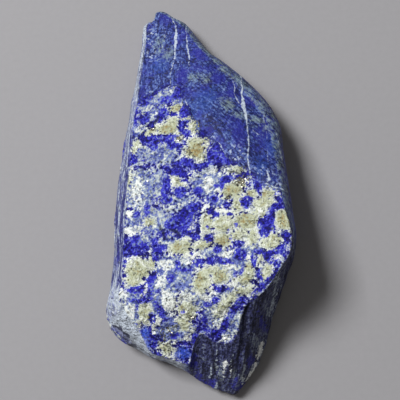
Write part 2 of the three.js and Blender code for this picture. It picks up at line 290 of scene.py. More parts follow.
DEEP_PATCHES = ellipses(
    # towards the point
    (-14.2, 23.0, 1.5, 2.0), (-8.5, 22.3, 1.6, 1.1), (-5.0, 23.4, 1.6, 1.1), (-2.8, 18.3, 1.5, 2.2),
    (-8.8, 17.8, 1.3, 1.6), (-3.6, 13.5, 0.6, 1.7), (-2.3, 11.9, 1.0, 0.8), (-9.5, 11.1, 4.5, 0.9),
    (-14.2, 11.7, 0.9, 1.3), (-11.0, 9.0, 1.0, 1.0), (-6.2, 9.2, 0.9, 1.2), (-4.3, 8.4, 0.8, 0.8),
    (-17.0, 6.2, 1.5, 1.7), (-2.2, 3.9, 1.8, 1.2), (2.2, 2.8, 2.8, 0.6, 5), (-7.4, 2.6, 0.8, 0.6),
    (-7.9, -2.4, 1.0, 2.8), (-5.0, 1.4, 1.0, 0.7), (-13.8, 17.0, 1.3, 0.8), (3.0, 11.8, 1.8, 1.6),
    (6.4, 7.4, 1.9, 1.2, -55), (4.2, 5.2, 1.0, 1.2), (7.6, 3.2, 1.8, 0.9), (-2.4, 15.0, 0.9, 0.5),
    # high on the right
    (7.9, -1.6, 1.6, 0.9, 15), (7.0, -3.4, 0.6, 1.2), (5.4, -2.9, 0.8, 0.5), (4.9, -6.4, 1.1, 0.9),
    (0.8, -3.8, 1.1, 0.9), (4.0, -9.8, 1.2, 0.5), (5.7, -10.8, 0.8, 0.4), (8.2, -8.6, 0.7, 0.7),
    (8.8, -10.6, 0.6, 0.5), (13.2, -7.7, 1.8, 1.5), (16.2, -4.6, 2.0, 0.9, 110),
    (21.5, -7.0, 1.4, 1.5), (21.0, -10.0, 1.9, 0.9), (18.9, -12.3, 1.5, 1.5),
    (16.9, -13.4, 1.0, 1.6), (18.5, -14.9, 1.5, 0.5), (17.4, -16.1, 1.4, 1.1),
    (22.6, -17.0, 0.9, 1.0), (21.3, -20.5, 1.6, 1.0, 30), (16.0, -20.7, 1.4, 0.8),
    (18.9, -22.4, 1.0, 1.6), (14.9, -22.6, 0.7, 1.8), (11.4, -21.2, 1.7, 1.7),
    (11.5, -18.1, 1.1, 0.6), (5.8, -19.5, 1.0, 0.9), (7.8, -22.6, 2.2, 0.9), (3.8, -16.5, 1.2, 1.2),
    (0.7, -16.2, 0.8, 0.8), (3.5, -13.6, 0.5, 0.5), (10.6, -13.5, 0.4, 0.5), (8.4, -14.6, 0.5, 0.4),
    (8.8, -16.8, 0.5, 0.4), (20.6, -24.0, 0.9, 1.2),
    # left and middle
    (-15.2, -17.2, 1.4, 2.6), (-17.3, -18.2, 1.5, 1.6), (-12.8, -17.3, 1.2, 0.8),
    (-10.1, -16.8, 0.8, 0.9), (-8.7, -18.4, 1.7, 1.2), (-10.2, -20.6, 1.0, 1.3),
    (-7.6, -5.8, 1.3, 0.9), (-3.8, -3.8, 1.4, 1.5), (-1.2, -8.6, 2.4, 1.1, 20),
    (-4.0, -11.7, 3.6, 1.9, 12), (-3.8, -15.3, 0.5, 1.0), (-12.6, -7.8, 0.6, 1.9),
    (-15.3, -9.2, 0.9, 0.8), (1.0, -22.7, 1.3, 0.8), (-4.4, -22.4, 0.8, 0.8),
    (-2.8, -24.0, 2.2, 0.6), (-6.0, -26.0, 1.1, 1.1), (-11.0, -25.8, 1.0, 0.8),
    (-11.3, -28.2, 0.6, 2.4), (-15.5, -28.4, 2.6, 0.8), (4.2, -22.4, 0.9, 0.8),
    # towards the thick end
    (-14.5, -31.2, 2.3, 0.6), (-15.0, -32.8, 0.4, 0.9), (-12.2, -30.8, 1.4, 0.8),
    (-9.2, -33.4, 2.2, 0.9, -58), (-11.3, -35.2, 1.0, 1.4), (-12.0, -38.0, 0.4, 1.0),
    (-9.5, -29.0, 0.7, 0.6), (-3.3, -33.8, 0.6, 0.6), (6.8, -29.0, 2.0, 0.8),
    (2.8, -32.6, 0.9, 0.6), (5.1, -31.8, 1.2, 0.6), (12.0, -25.0, 1.5, 0.4, 55),
    (10.6, -25.9, 0.6, 0.8), (11.5, -28.2, 0.5, 0.4), (16.3, -27.0, 0.6, 2.0),
    (18.3, -28.0, 2.0, 0.8, 40), (15.6, -29.8, 1.8, 0.5, 25), (11.0, -32.2, 1.2, 0.8, 30),
    (9.2, -34.5, 1.7, 0.7, 60), (7.2, -37.3, 1.8, 0.8, 60), (4.8, -39.0, 1.2, 0.7),
    (2.2, -36.0, 0.7, 0.9), (1.5, -38.2, 1.3, 0.8), (-0.8, -40.8, 0.8, 1.2),
    (-6.0, -39.4, 1.4, 0.8), (-11.5, -41.0, 0.9, 1.1),
    # worn skin
    (14.2, 21.5, 1.8, 1.8), (8.8, 25.0, 1.2, 3.0), (5.5, 28.5, 2.0, 2.0), (11.5, 10.0, 1.8, 4.0),
    (6.5, 7.0, 1.8, 3.0), (-10.5, 51.0, 2.0, 2.4), (0.5, 36.5, 2.6, 1.6, -40),
    (-4.6, 30.0, 1.5, 3.0),
    # left shoulder and layered knob
    (-17.1, 21.0, 0.5, 4.0, 8), (-20.8, -8.0, 0.4, 6.5, 4), (-21.4, -20.0, 0.4, 5.0, 2),
    (-21.0, -38.6, 3.4, 1.6, -30),
)
AZURE_PATCHES = ellipses(
    (-13.4, -38.6, 1.1, 2.0), (-13.0, -41.5, 0.6, 1.2), (-4.2, -43.8, 2.0, 1.6),
    (-11.0, 34.5, 2.6, 3.6), (19.5, 8.0, 2.0, 3.4), (2.0, 21.0, 3.0, 5.0, -30),
    (16.8, 1.5, 1.6, 4.0),
)
PYRITE_PATCHES = ellipses(
    (11.8, -2.2, 1.7, 1.4), (8.3, -6.3, 1.0, 0.7), (-6.8, -38.0, 1.4, 1.0), (-1.5, 6.2, 0.9, 1.4),
    (-8.7, -39.2, 0.5, 1.0), (-1.4, -35.6, 1.1, 0.6), (-4.0, 10.4, 0.8, 0.6),
    (-11.6, 14.0, 0.6, 0.4), (-9.0, -41.2, 1.2, 0.7),
)
GREEN_PATCHES = ellipses(
    (7.5, 31.5, 2.2, 1.0, -30), (13.5, 26.5, 5.0, 1.3, -42), (11.8, 16.6, 2.4, 0.9, -25),
    (15.6, 15.2, 2.0, 1.4), (18.6, 13.3, 1.5, 1.0), (21.8, 8.0, 1.1, 6.5),
    (8.0, 20.2, 2.4, 1.6, -60), (2.2, 27.8, 1.4, 1.8), (-1.0, 29.6, 1.4, 0.9),
    (-9.0, 38.0, 1.6, 2.0), (-11.5, 41.0, 1.0, 2.4),
)
# The same on the fracture wall.
WALL_CHALK_PATCHES = ellipses(
    (13.7, -40.8, 1.2, 1.8), (6.3, -46.2, 0.8, 0.9), (1.1, -44.2, 0.5, 1.2), (5.2, -48.6, 0.6, 1.4),
    (8.2, -49.0, 0.5, 1.6), (14.7, -42.8, 0.7, 1.8), (12.6, -47.6, 0.7, 2.6, -30),
)
WALL_DEEP_PATCHES = ellipses(
    (12.4, -45.6, 1.0, 1.5), (15.6, -36.8, 0.9, 2.0), (2.0, -50.8, 2.0, 1.2),
    (8.7, -51.0, 1.8, 1.3), (-1.8, -45.8, 0.8, 2.0), (-1.2, -48.8, 1.0, 1.4),
)

# Pale seams, each a line of points with x, y and half width. Most are veins and rims; the line on
# the skin's right edge is partly a painted highlight.
SEAMS_AND_HIGHLIGHTS = strokes(
    # veins of the worn skin
    [(-8.8, 53.0, 0.1), (-8.2, 50.0, 0.1), (-7.6, 48.0, 0.1), (-7.1, 46.0, 0.2), (-6.9, 44.0, 0.4),
     (-7.0, 41.5, 0.35), (-7.2, 39.5, 0.25), (-6.9, 37.5, 0.25), (-7.1, 35.0, 0.15),
     (-7.6, 32.5, 0.15), (-7.7, 29.5, 0.05), (-7.5, 27.5, 0.15), (-8.0, 25.0, 0.2)],
    [(-10.6, 50.0, 0.0), (-10.4, 45.0, 0.05), (-10.5, 40.0, 0.0)],
    [(-4.6, 48.5, 0.1), (-4.2, 44.5, 0.05), (-3.6, 41.0, 0.1), (-3.2, 38.0, 0.15),
     (-2.7, 35.0, 0.05), (-2.5, 33.0, 0.0)],
    [(10.6, 33.0, 0.15), (11.2, 29.5, 0.15), (11.5, 26.5, 0.1), (11.8, 24.0, 0.2),
     (12.1, 21.0, 0.4), (12.6, 18.0, 0.4), (13.0, 15.0, 0.15), (13.5, 12.0, 0.1), (13.6, 8.0, 0.15),
     (13.7, 4.0, 0.15), (14.0, 1.0, 0.1), (14.4, -2.0, 0.15), (14.9, -5.0, 0.1)],
    [(8.8, 29.0, 0.0), (9.6, 26.3, 0.1), (10.0, 23.0, 0.05), (11.0, 20.8, 0.1), (11.8, 20.4, 0.0)],
    [(17.3, 17.6, 0.1), (17.6, 16.0, 0.1), (18.3, 9.5, -0.05), (18.5, 3.0, 0.0)],
    # The skin's right edge: a pale green rim, partly a painted highlight.
    [(19.6, 16.0, -0.1), (21.1, 10.0, 0.0), (21.9, 4.7, 0.1), (22.1, 2.6, 0.0)],
    [(14.5, 12.3, 0.05), (15.8, 11.2, 0.15), (16.6, 11.0, 0.0)],
    [(17.6, 1.4, 0.05), (18.4, 0.0, 0.1), (19.0, -2.2, 0.25), (18.0, -3.2, 0.1), (20.6, -4.4, 0.15),
     (23.2, -5.0, 0.1)],
    # rims of the broken face
    [(-18.5, 4.0, 0.15), (-15.0, 5.0, 0.2), (-11.5, 5.6, 0.2)],
    [(-14.6, 14.6, 0.25), (-12.8, 16.2, 0.25), (-11.2, 17.6, 0.25)],
    [(-1.2, 0.2, 0.15), (1.5, 1.0, 0.3), (4.0, 2.0, 0.4), (5.6, 2.0, 0.2)],
    [(-8.5, -9.3, 0.12), (-6.0, -9.1, 0.2), (-4.2, -8.4, 0.25), (-2.6, -7.4, 0.15)],
    [(4.6, 10.4, 0.0), (6.4, 8.2, 0.1), (8.0, 5.2, 0.05)],
    [(-3.4, 23.0, 0.0), (-2.6, 20.5, 0.05), (-1.4, 18.6, 0.0)],
    [(21.8, -22.2, 0.2), (22.0, -23.4, 0.2), (20.8, -26.0, 0.25), (19.0, -28.6, 0.2),
     (16.0, -30.6, 0.15)],
)
# The same on the fracture wall. The lines along its outer edge are a pale rim, partly painted
# highlight.
WALL_SEAMS_AND_HIGHLIGHTS = strokes(
    [(6.7, -45.2, 0.0), (6.3, -46.2, 0.55), (6.0, -47.2, 0.25), (5.4, -49.2, 0.2)],
    [(3.0, -46.4, 0.1), (2.3, -48.6, 0.3), (1.9, -49.6, 0.1)],
    # The next three lines of points follow the wall's outer edge: a pale rim, partly a painted
    # highlight.
    [(15.2, -40.8, 0.0), (14.8, -42.4, 0.5), (14.0, -44.8, 0.25), (12.9, -47.4, 0.25),
     (10.7, -50.1, 0.1)],
    [(22.2, -22.0, 0.05), (20.5, -26.4, 0.1), (18.9, -30.6, 0.1), (17.4, -34.6, 0.05)],
    [(16.2, -38.4, 0.0), (15.3, -41.4, 0.1), (14.6, -43.4, 0.2), (13.6, -46.0, 0.1)],
    [(4.6, -42.6, 0.0), (3.9, -46.4, 0.1), (3.6, -49.6, 0.05)],
    [(8.4, -43.8, 0.0), (7.6, -46.4, 0.1), (7.4, -49.6, 0.1)],
    [(3.6, -50.8, 0.2), (3.2, -51.8, 0.3)],
    [(10.9, -46.6, 0.15), (10.2, -49.4, 0.25), (9.8, -51.0, 0.1)],
)
# Dark lines of painted shade in cracks and grooves, on the fracture wall and under the lip's step,
# in the same form.
CRACK_SHADES = strokes(
    [(7.8, 0.9, 0.1), (9.2, 0.5, 0.2), (11.0, 0.0, 0.25), (12.6, -0.4, 0.2), (13.8, -1.0, 0.1)],
    [(-12.3, 15.2, 0.15), (-10.6, 16.2, 0.4), (-10.0, 17.4, 0.2)],
    [(23.3, -8.6, 0.1), (24.0, -10.6, 0.2), (24.5, -12.8, 0.15)],
    [(-6.5, -13.4, 0.1), (-5.0, -14.0, 0.35), (-3.6, -15.6, 0.2)],
    [(-9.2, -12.6, 0.1), (-8.4, -13.4, 0.2), (-7.8, -15.2, 0.25)],
    [(2.6, 28.0, 0.15), (3.2, 26.4, 0.25), (3.8, 25.2, 0.1)],
    [(20.4, -25.6, 0.1), (18.8, -27.8, 0.3), (17.2, -29.2, 0.2)],
    # fracture wall
    [(12.6, -33.6, 0.1), (11.9, -37.2, 0.3), (10.9, -42.5, 0.3), (8.6, -45.8, 0.2),
     (7.0, -51.6, 0.15)],
    [(12.0, -38.1, 0.15), (11.9, -41.5, 0.25), (11.5, -45.0, 0.15)],
    [(3.0, -41.0, 0.2), (3.6, -44.5, 0.3), (3.4, -48.5, 0.25), (4.4, -51.6, 0.2)],
    # layered knob and foot of the bevel
    [(-22.8, -36.4, 0.2), (-21.4, -36.8, 0.3), (-19.4, -38.0, 0.3), (-18.0, -39.4, 0.2)],
    [(-23.0, -38.0, 0.3), (-21.4, -39.8, 0.5), (-19.6, -40.9, 0.5), (-17.4, -41.4, 0.3)],
    [(-22.2, -37.8, 0.1), (-20.6, -38.9, 0.2), (-19.0, -40.0, 0.1)],
    [(-18.2, -41.0, 0.1), (-15.0, -42.6, 0.1), (-12.8, -43.6, 0.05)],
    [(-11.0, -44.6, -0.1), (-7.5, -45.6, 0.0), (-4.5, -47.0, -0.05)],
)

# ---- noise ---------------------------------------------------------------------------------


def cell_random(cells, seed):
    """A steady random number from 0 to 1 for each whole-number cell.

    The three coordinates are multiplied by large primes and mixed bit by bit to 32 bits.
    """
    mixed = cells[..., 0] * 73856093 ^ cells[..., 1] * 19349663 ^ cells[..., 2] * 83492791
    mixed = (mixed ^ (seed * 40503001)) & 0xFFFFFFFF
    for shift, prime in ((15, 0x2C1B3C6D), (12, 0x297A2D39)):
        mixed = ((mixed ^ (mixed >> shift)) * prime) & 0xFFFFFFFF
    return (mixed ^ (mixed >> 15)) / 0xFFFFFFFF


def rolling(points, size, seed):
    """Smooth noise from -1 to 1: random heights at a lattice's corners, eased together."""
    scaled = points / size
    corner = np.floor(scaled).astype(np.int64)
    share = scaled - corner
    eased = share * share * (3 - 2 * share)
    total = np.zeros(len(points))
    for step in np.ndindex(2, 2, 2):
        weight = np.prod(np.where(step, eased, 1 - eased), axis=1)
        total += weight * cell_random(corner + np.array(step), seed)
    return 2 * total - 1


def rugged(points, size, seed, octaves=4):
    """Rolling noise summed over octaves, each half as wide and half as high as the last."""
    return sum(rolling(points, size / 2**k, seed + 17 * k) / 2**k for k in range(octaves)) / 1.5


def facets(points, size, seed):
    """Crystal-like bumps with flat sides, from about -1 in the valleys to 1 on the peaks.

    Space is filled with scattered cubes of random turns. The value falls with the distance to the
    nearest cube's middle, where a distance is the largest of the three along the cube's edges.
    """
    scaled = points / size
    base = np.floor(scaled).astype(np.int64)
    turns = np.linalg.qr(np.random.default_rng(seed).normal(size=(12, 3, 3)))[0]
    nearest = np.full(len(points), np.inf)
    for step in np.ndindex(3, 3, 3):
        cell = base + np.array(step) - 1
        gap = scaled - cell - np.stack([cell_random(cell, seed + k) for k in range(3)], axis=1)
        turn = turns[(cell_random(cell, seed + 3) * 11.99).astype(int)]
        nearest = np.minimum(nearest, np.abs(np.einsum("ij,ijk->ik", gap, turn)).max(axis=1))
    return 1.15 - 2.5 * nearest


# ---- shape functions -----------------------------------------------------------------------


def ease(value, low, high):
    """0 below low, 1 above high, and a smooth cubic step between them."""
    share = np.clip((value - low) / (high - low), 0, 1)
    return share * share * (3 - 2 * share)


def ring_curve(knots, place):
    """A closed smooth curve through the knots, read at places counted in knots.

    It is the centripetal Catmull-Rom curve: a cubic between each two knots, whose end slopes come
    from their neighbours, with each gap weighed by the square root of its length.
    """
    count = len(knots)
    index = np.floor(place).astype(int)
    share = (place - index)[:, None]
    before, start, stop, after = (knots[(index + k) % count] for k in (-1, 0, 1, 2))
    gap0, gap1, gap2 = (
        np.sqrt(np.linalg.norm(b - a, axis=1))[:, None]
        for a, b in ((before, start), (start, stop), (stop, after))
    )
    leave = (start - before) / gap0 - (stop - before) / (gap0 + gap1) + (stop - start) / gap1
    arrive = (stop - start) / gap1 - (after - start) / (gap1 + gap2) + (after - stop) / gap2
    square, cube = share**2, share**3
    return (
        (2 * cube - 3 * square + 1) * start
        + (cube - 2 * square + share) * leave * gap1
        + (3 * square - 2 * cube) * stop
        + (cube - square) * arrive * gap1
    )


def ring_value(column, place):
    """A column of RING at places around it, straight between rows."""
    values = np.append(RING[:, column], RING[0, column])
    return np.interp(place, np.arange(len(values)), values)


def place_at(turn):
    """Places around the ring at shares of a turn, even along the widest line and brink together."""
    dense = np.linspace(0, len(RING), 4001)
    both = np.hstack([ring_curve(RING[:, :3], dense), ring_curve(RING[:, 3:5], dense)])
    along = np.append(0, np.cumsum(np.linalg.norm(np.diff(both, axis=0), axis=1)))
    return np.interp(turn * along[-1], along, dense)


def top_height(x, y):
    """Height of the top at (x, y): the lowest of the face planes there, with soft ridges.

    The soft lowest of h1, h2, ... is -s log(exp(-h1/s) + exp(-h2/s) + ...), with s the softness.
    """
    total = sum(
        np.exp(-(height + rise[0] * (x - at[0]) + rise[1] * (y - at[1])) / EDGE_SOFTNESS)
        for at, height, rise in TOP_FACES
    )
    return -EDGE_SOFTNESS * np.log(total)


def square_disc(steps):
    """A square sheet of points laid over a disc, as shares of a turn and of the way out.

    With u and v running from -1 to 1, the point lies at u sqrt(1 - v v / 2), v sqrt(1 - u u / 2).
    Turns run clockwise from the corner where u is -1 and v is 1.
    """
    line = np.linspace(-1, 1, steps + 1)
    u, v = np.meshgrid(line, line, indexing="ij")
    x, y = u * np.sqrt(1 - v**2 / 2), v * np.sqrt(1 - u**2 / 2)
    turn = (0.375 - np.arctan2(y, x) / (2 * np.pi)) % 1
    turn[0, -1] = 0
    return turn.ravel(), np.clip(np.hypot(x, y), 0, 1).ravel()


def base_surface(place, down):
    """The smooth form of the stone at places around it and ways down its profiles.

    The way down is 0 at the crown, 1 at the brink, 2 at the widest point, 3 at the foot and 4 in
    the middle below. Over the top a profile runs straight in plan from the crown to the brink, at
    the top's height. Down the flank it is a blend of a straight line and a quarter ellipse. The
    undercut is a quarter ellipse inwards, and below it sinks with the cube of the way in.
    """
    widest = ring_curve(RING[:, :3], place)
    brink = ring_curve(RING[:, 3:5], place)
    crown = np.array(CROWN)

    top = crown + (brink - crown) * np.clip(down, 0, 1)[:, None]
    top_z = top_height(*top.T)

    way = np.clip(down - 1, 0, 1)
    roundness = ring_value(5, place)
    out = way + (np.sin(way * np.pi / 2) - way) * roundness
    fall = way + (1 - np.cos(way * np.pi / 2) - way) * roundness
    flank = brink + (widest[:, :2] - brink) * out[:, None]
    brink_z = top_height(*brink.T)
    flank_z = brink_z + (widest[:, 2] - brink_z) * fall

    turn = np.clip(down - 2, 0, 1) * np.pi / 2
    inwards = crown - widest[:, :2]
    inwards *= (ring_value(6, place) / np.linalg.norm(inwards, axis=1))[:, None]
    under = widest[:, :2] + inwards * (1 - np.cos(turn))[:, None]
    under_z = widest[:, 2] * (1 + (UNDERCUT_HEIGHT - 1) * np.sin(turn))

    left = np.clip(4 - down, 0, 1)
    foot = widest[:, :2] + inwards
    belly = crown + (foot - crown) * left[:, None]
    belly_z = -BELLY_DEPTH + (UNDERCUT_HEIGHT * widest[:, 2] + BELLY_DEPTH) * left**3

    legs = [down <= 1, down <= 2, down <= 3]
    xy = np.select([leg[:, None] for leg in legs], [top, flank, under], belly)
    z = np.select(legs, [top_z, flank_z, under_z], belly_z)
    return np.column_stack([xy, z])


def stretch_mask(place, stretch, soft=0.6):
    """1 on a stretch of the ring and 0 off it, eased over soft places at each end."""
    return ease(place, stretch[0] - soft, stretch[0] + soft) * (
        1 - ease(place, stretch[1] - soft, stretch[1] + soft)
    )


def patch_level(points, patches):
    """About how many millimetres each point is inside the nearest patch, negative outside.

    A patch is an ellipse in plan. The level is 1 minus the point's distance from its middle with
    the half length and half width taken as 1, times the smaller of the two.
    """
    turn = np.radians(patches[:, 4])
    dx = points[:, None, 0] - patches[:, 0]
    dy = points[:, None, 1] - patches[:, 1]
    along = (dx * np.cos(turn) + dy * np.sin(turn)) / patches[:, 2]
    across = (dy * np.cos(turn) - dx * np.sin(turn)) / patches[:, 3]
    levels = (1 - np.hypot(along, across)) * patches[:, 2:4].min(axis=1)
    return np.clip(levels.max(axis=1), -2, 2)


def seam_level(points, seams):
    """How many millimetres each point is inside the nearest seam in plan, negative outside."""
    best = np.full(len(points), -2.0)
    for stroke in seams:
        for start, stop in zip(stroke[:-1], stroke[1:]):
            run = stop[:2] - start[:2]
            share = np.clip(((points[:, :2] - start[:2]) @ run) / (run @ run), 0, 1)
            gap = points[:, :2] - start[:2] - share[:, None] * run
            half_width = start[2] + share * (stop[2] - start[2])
            best = np.maximum(best, half_width - np.hypot(*gap.T))
    return best


def layer_number(points):
    """The number of the growth layer at each point: nearly x, fanned along y and leaning with z."""
    x, y, z = points.T
    return x + (LAYER_TURN + LAYER_FAN * x) * y - LAYER_LEAN * z


def along_layers(points, across, along):
    """Points squeezed so that noise on them is drawn out along the layers.

    The first coordinate is the layer number over across, the others are y and z over along.
    """
    return np.column_stack([layer_number(points) / across, points[:, 1:] / along])


def surface_zones(points, place, down):
    """The share of each kind of surface at each point, from 0 to 1, as a dictionary of arrays.

    The skin ends in a wandering edge along SKIN_LINE. The wall, the shoulder and the bevel are
    stretches of the ring, from the brink to the foot. The rind of the last two is worn off in
    places, the more so the lower, and there the stone is broken. Pale tells how pale the rind is.
    """
    on_top = 1 - ease(down, *TOP_ENDS)
    below_brink = ease(down, *FLANK_STARTS) * (1 - ease(down, *FLANK_ENDS))
    belly = ease(down, *BELLY_STARTS)

    edge = [np.column_stack([SKIN_LINE, np.zeros(len(SKIN_LINE))])]
    beyond = np.sign(points[:, 1] - np.interp(points[:, 0], *SKIN_LINE.T))
    from_edge = -beyond * seam_level(points, edge) + 1.4 * rugged(points, 5.0, 11)
    skin_top = ease(from_edge, -1.4, 1.6) * on_top

    wander = 0.9 * rugged(points, 7.0, 179) * (1 - ease(place, *WALL_EDGE_STEADIES))
    wall = stretch_mask(place + wander, WALL_STRETCH, 0.35) * below_brink
    shoulder = stretch_mask(place, SHOULDER_STRETCH) * below_brink
    bevel = stretch_mask(place, BEVEL_STRETCH, 0.4) * below_brink
    skin = np.clip(skin_top + below_brink, 0, 1) * (1 - np.clip(wall + shoulder + bevel, 0, 1))
    worn_off = 1.2 * rugged(points, 8.0, 173) + 1.8 * (down - 2)
    rind = 1 - ease(worn_off, 0.0, 0.25)

    knob = 1 - ease(place, *KNOB_ENDS)
    shade = shoulder * (1 - ease(down, *SHOULDER_SHADE_SINKS))
    shade *= 1 - ease(place, *SHOULDER_SHADE_ENDS)
    pale = 0.45 * ease(place, *SHOULDER_PALES) + bevel + 0.6 * knob
    return {
        "skin": skin * (1 - belly),
        "wall": wall,
        "shoulder": shoulder * rind,
        "bevel": bevel * (1 - shoulder) * rind,
        "ribbed": 0.3 + 0.7 * ease(place, *RIBS_DEEPEN),
        "belly": belly,
        "broken": np.clip(1 - skin - wall - (shoulder + bevel) * rind, 0, 1),
        "on_top": on_top,
        "pale": pale + 0.5 * ease(down, *RIND_PALES) - shade,
    }


def relief(points, down, zones, settings):
    """Height in millimetres to add along the normal, as each kind of surface breaks or wears.

    Broken faces are crystal bumps of three sizes on rolling ground. The skin rolls gently with
    faint lines along the layers. The fracture wall is ribs drawn out along the layers, with one
    deep cleft. The shoulder is ledges, which rise and fall evenly with the layer number. Beyond
    LIP_LINE the broken face is sunk by LIP_DROP, less with the distance. The relief is held back
    at the stone's widest line.
    """
    grain = settings.grain_relief / MM
    wave = settings.wave_relief / MM
    splinter = settings.splinter_relief / MM
    layers = layer_number(points)
    lines = along_layers(points, 1.6, 22.0)
    ribs = along_layers(points, 3.4, 26.0)
    fibres = along_layers(points, 1.2, 12.0)
    at_widest = np.exp(-(((down - 2) / WIDEST_BAND) ** 2))

    ground = wave * rugged(points, 13.0, 23, 3) * (1 - 0.7 * zones["skin"]) * (1 - at_widest)
    large, middling, small = (
        weight * facets(points, size, seed)
        for weight, size, seed in ((1.3, 5.2, 31), (0.9, 2.6, 47), (0.45, 1.4, 59))
    )
    broken = grain * (large + middling + small)
    skin = 0.15 * splinter * rugged(lines, 1.0, 71, 2) + 0.25 * grain * rugged(points, 2.6, 73, 3)

    ribbed = zones["ribbed"]
    wall = 0.9 * facets(ribs, 1.0, 83) * ribbed + 0.4 * facets(fibres, 1.0, 89)
    wall += 0.6 * facets(points, 7.0, 91) * (1 - ribbed)
    cleft = np.exp(-(((layers - GROOVE_LAYER) / GROOVE_WIDTH) ** 2)) * (1 - 0.8 * at_widest)
    wall = splinter * wall - GROOVE_DEPTH * cleft

    steps = layers / LEDGE_WIDTH + 0.5 * rugged(points, 9.0, 101, 2)
    ledges = np.abs(steps - np.floor(steps) - 0.5) * 2 - 0.5
    shoulder = splinter * (0.5 * ledges + 0.35 * facets(fibres, 1.0, 103))
    bevel = 0.3 * facets(fibres, 1.2, 107) + 0.4 * facets(points, 4.0, 109)
    bevel = splinter * (bevel + 0.2 * facets(points, 1.6, 111))
    belly = grain * (1.5 * facets(points, 7.0, 115) + 0.7 * facets(points, 2.8, 117))

    beyond = np.interp(points[:, 0], *LIP_LINE.T) - points[:, 1] + 0.8 * rugged(points, 2.5, 113)
    span = ease(points[:, 0], -4.0, 4.0) * (1 - ease(points[:, 0], 12.0, 15.5)) * zones["on_top"]
    lip = -LIP_DROP * ease(beyond, 0.0, 0.35) * np.exp(-np.clip(beyond, 0, None) / LIP_FADE) * span

    rough = (
        broken * zones["broken"]
        + skin * zones["skin"]
        + wall * zones["wall"]
        + shoulder * zones["shoulder"]
        + bevel * zones["bevel"]
        + belly * zones["belly"]
    )
    return ground + rough * (1 - 0.4 * at_widest) + lip


def mark_levels(points, zones, down):
    """The marks at each point, in millimetres inside them, which the finish cuts into crisp edges.

    The marks of the top end where the flank turns down. Below, cream, blue and white follow noise.
    The wall's seams and the painted shade of the cracks end at the widest line. Green also tinges the
    skin's worn rim, where it is partly a painted highlight that lightens the flank.
    """
    drift = np.stack([rugged(points, 2.0, seed, 3) for seed in (131, 137)], axis=1)
    drifted = points.copy()
    drifted[:, :2] += MARK_DRIFT * drift
    below = ease(down, *TOP_MARKS_END) * (1 - zones["wall"]) * (1 - zones["bevel"])
    under = ease(down, *CRACK_SHADES_END)
    on_wall = zones["wall"] > 0.5

    marks = {}
    for name, patches, height, size, seed, offset in (
        ("cream", CREAM_PATCHES, 1.4, 6.0, 149, -1.1),
        ("chalk_and_glint", CHALK_AND_GLINT_PATCHES, 2.0, 4.0, 151, -0.7),
        ("haze", HAZE_PATCHES, 2.0, 9.0, 153, -0.1),
        ("deep", DEEP_PATCHES, 2.0, 5.0, 157, -0.4),
    ):
        elsewhere = height * rugged(points, size, seed) + offset
        marks[name] = patch_level(drifted, patches) * (1 - below) + elsewhere * below
    for name, patches in (("chalk_and_glint", WALL_CHALK_PATCHES), ("deep", WALL_DEEP_PATCHES)):
        marks[name] = np.where(on_wall, patch_level(drifted, patches), marks[name])
    for name, patches in (
        ("tan", TAN_PATCHES),
        ("azure", AZURE_PATCHES),
        ("brass", PYRITE_PATCHES),
        ("green", GREEN_PATCHES),
    ):
        marks[name] = patch_level(drifted, patches) - 2 * below
    # Painted highlight, partly real green: the skin below the brink gets the pale green tint, which
    # lightens the flank where it turns from the light.
    rim_green_and_light = zones["skin"] * ease(down, 0.97, 1.1) * (1 - ease(down, 1.5, 1.9))
    marks["green"] = np.maximum(marks["green"], 2.6 * rim_green_and_light - 2)

    top_seam_and_highlight = seam_level(drifted, SEAMS_AND_HIGHLIGHTS) - 2 * below * (1 - zones["skin"])
    wall_seam_and_highlight = seam_level(drifted, WALL_SEAMS_AND_HIGHLIGHTS) - 2 * under
    marks["stroke"] = np.where(on_wall, wall_seam_and_highlight, top_seam_and_highlight)
    marks["crack_shade"] = seam_level(drifted, CRACK_SHADES) - 2 * np.maximum(below, under)
    marks["layer"] = layer_number(points)
    marks["depth"] = down + 0.05 * rugged(points, 6.0, 167, 2)
    marks["ground"] = 0.4 - 0.08 * ease(points[:, 1], 4.0, 12.0) + 0.08 * rugged(points, 9.0, 163, 2)
    return marks


def fit_to_box(points):
    """Points in millimetres moved and stretched to fill the solid stone's box, in metres."""
    low, high = (np.array(corner) for corner in CAD_BOX)
    least, most = points.min(axis=0), points.max(axis=0)
    return low + (points - least) / (most - least) * (high - low)


# ---- meshes --------------------------------------------------------------------------------


def new_object(name, data):
    """An object at the origin, in the scene."""
    item = bpy.data.objects.new(name, data)
    bpy.context.scene.collection.objects.link(item)
    return item


def new_piece(name, points, faces, material):
    """A smooth-shaded mesh object at the origin, from points in metres and index lists."""
    mesh = bpy.data.meshes.new(name)
    mesh.from_pydata(points, [], faces)
    mesh.shade_smooth()
    mesh.materials.append(material)
    return new_object(name, mesh)


def point_vectors(collection, field):
    """A field of three numbers, such as the place or the normal of each point, as an array."""
    values = np.empty(len(collection) * 3, np.float32)
    collection.foreach_get(field, values)
    return values.reshape(-1, 3).astype(float)


def store_levels(mesh, levels):
    """Puts each array on the mesh's points as an attribute of its name."""
    for name, values in levels.items():
        attribute = mesh.attributes.new(name, "FLOAT", "POINT")
        attribute.data.foreach_set("value", values.astype(np.float32))


def read_level(mesh, name):
    """The array that store_levels put on the mesh's points under a name."""
    values = np.empty(len(mesh.vertices), np.float32)
    mesh.attributes[name].data.foreach_get("value", values)
    return values


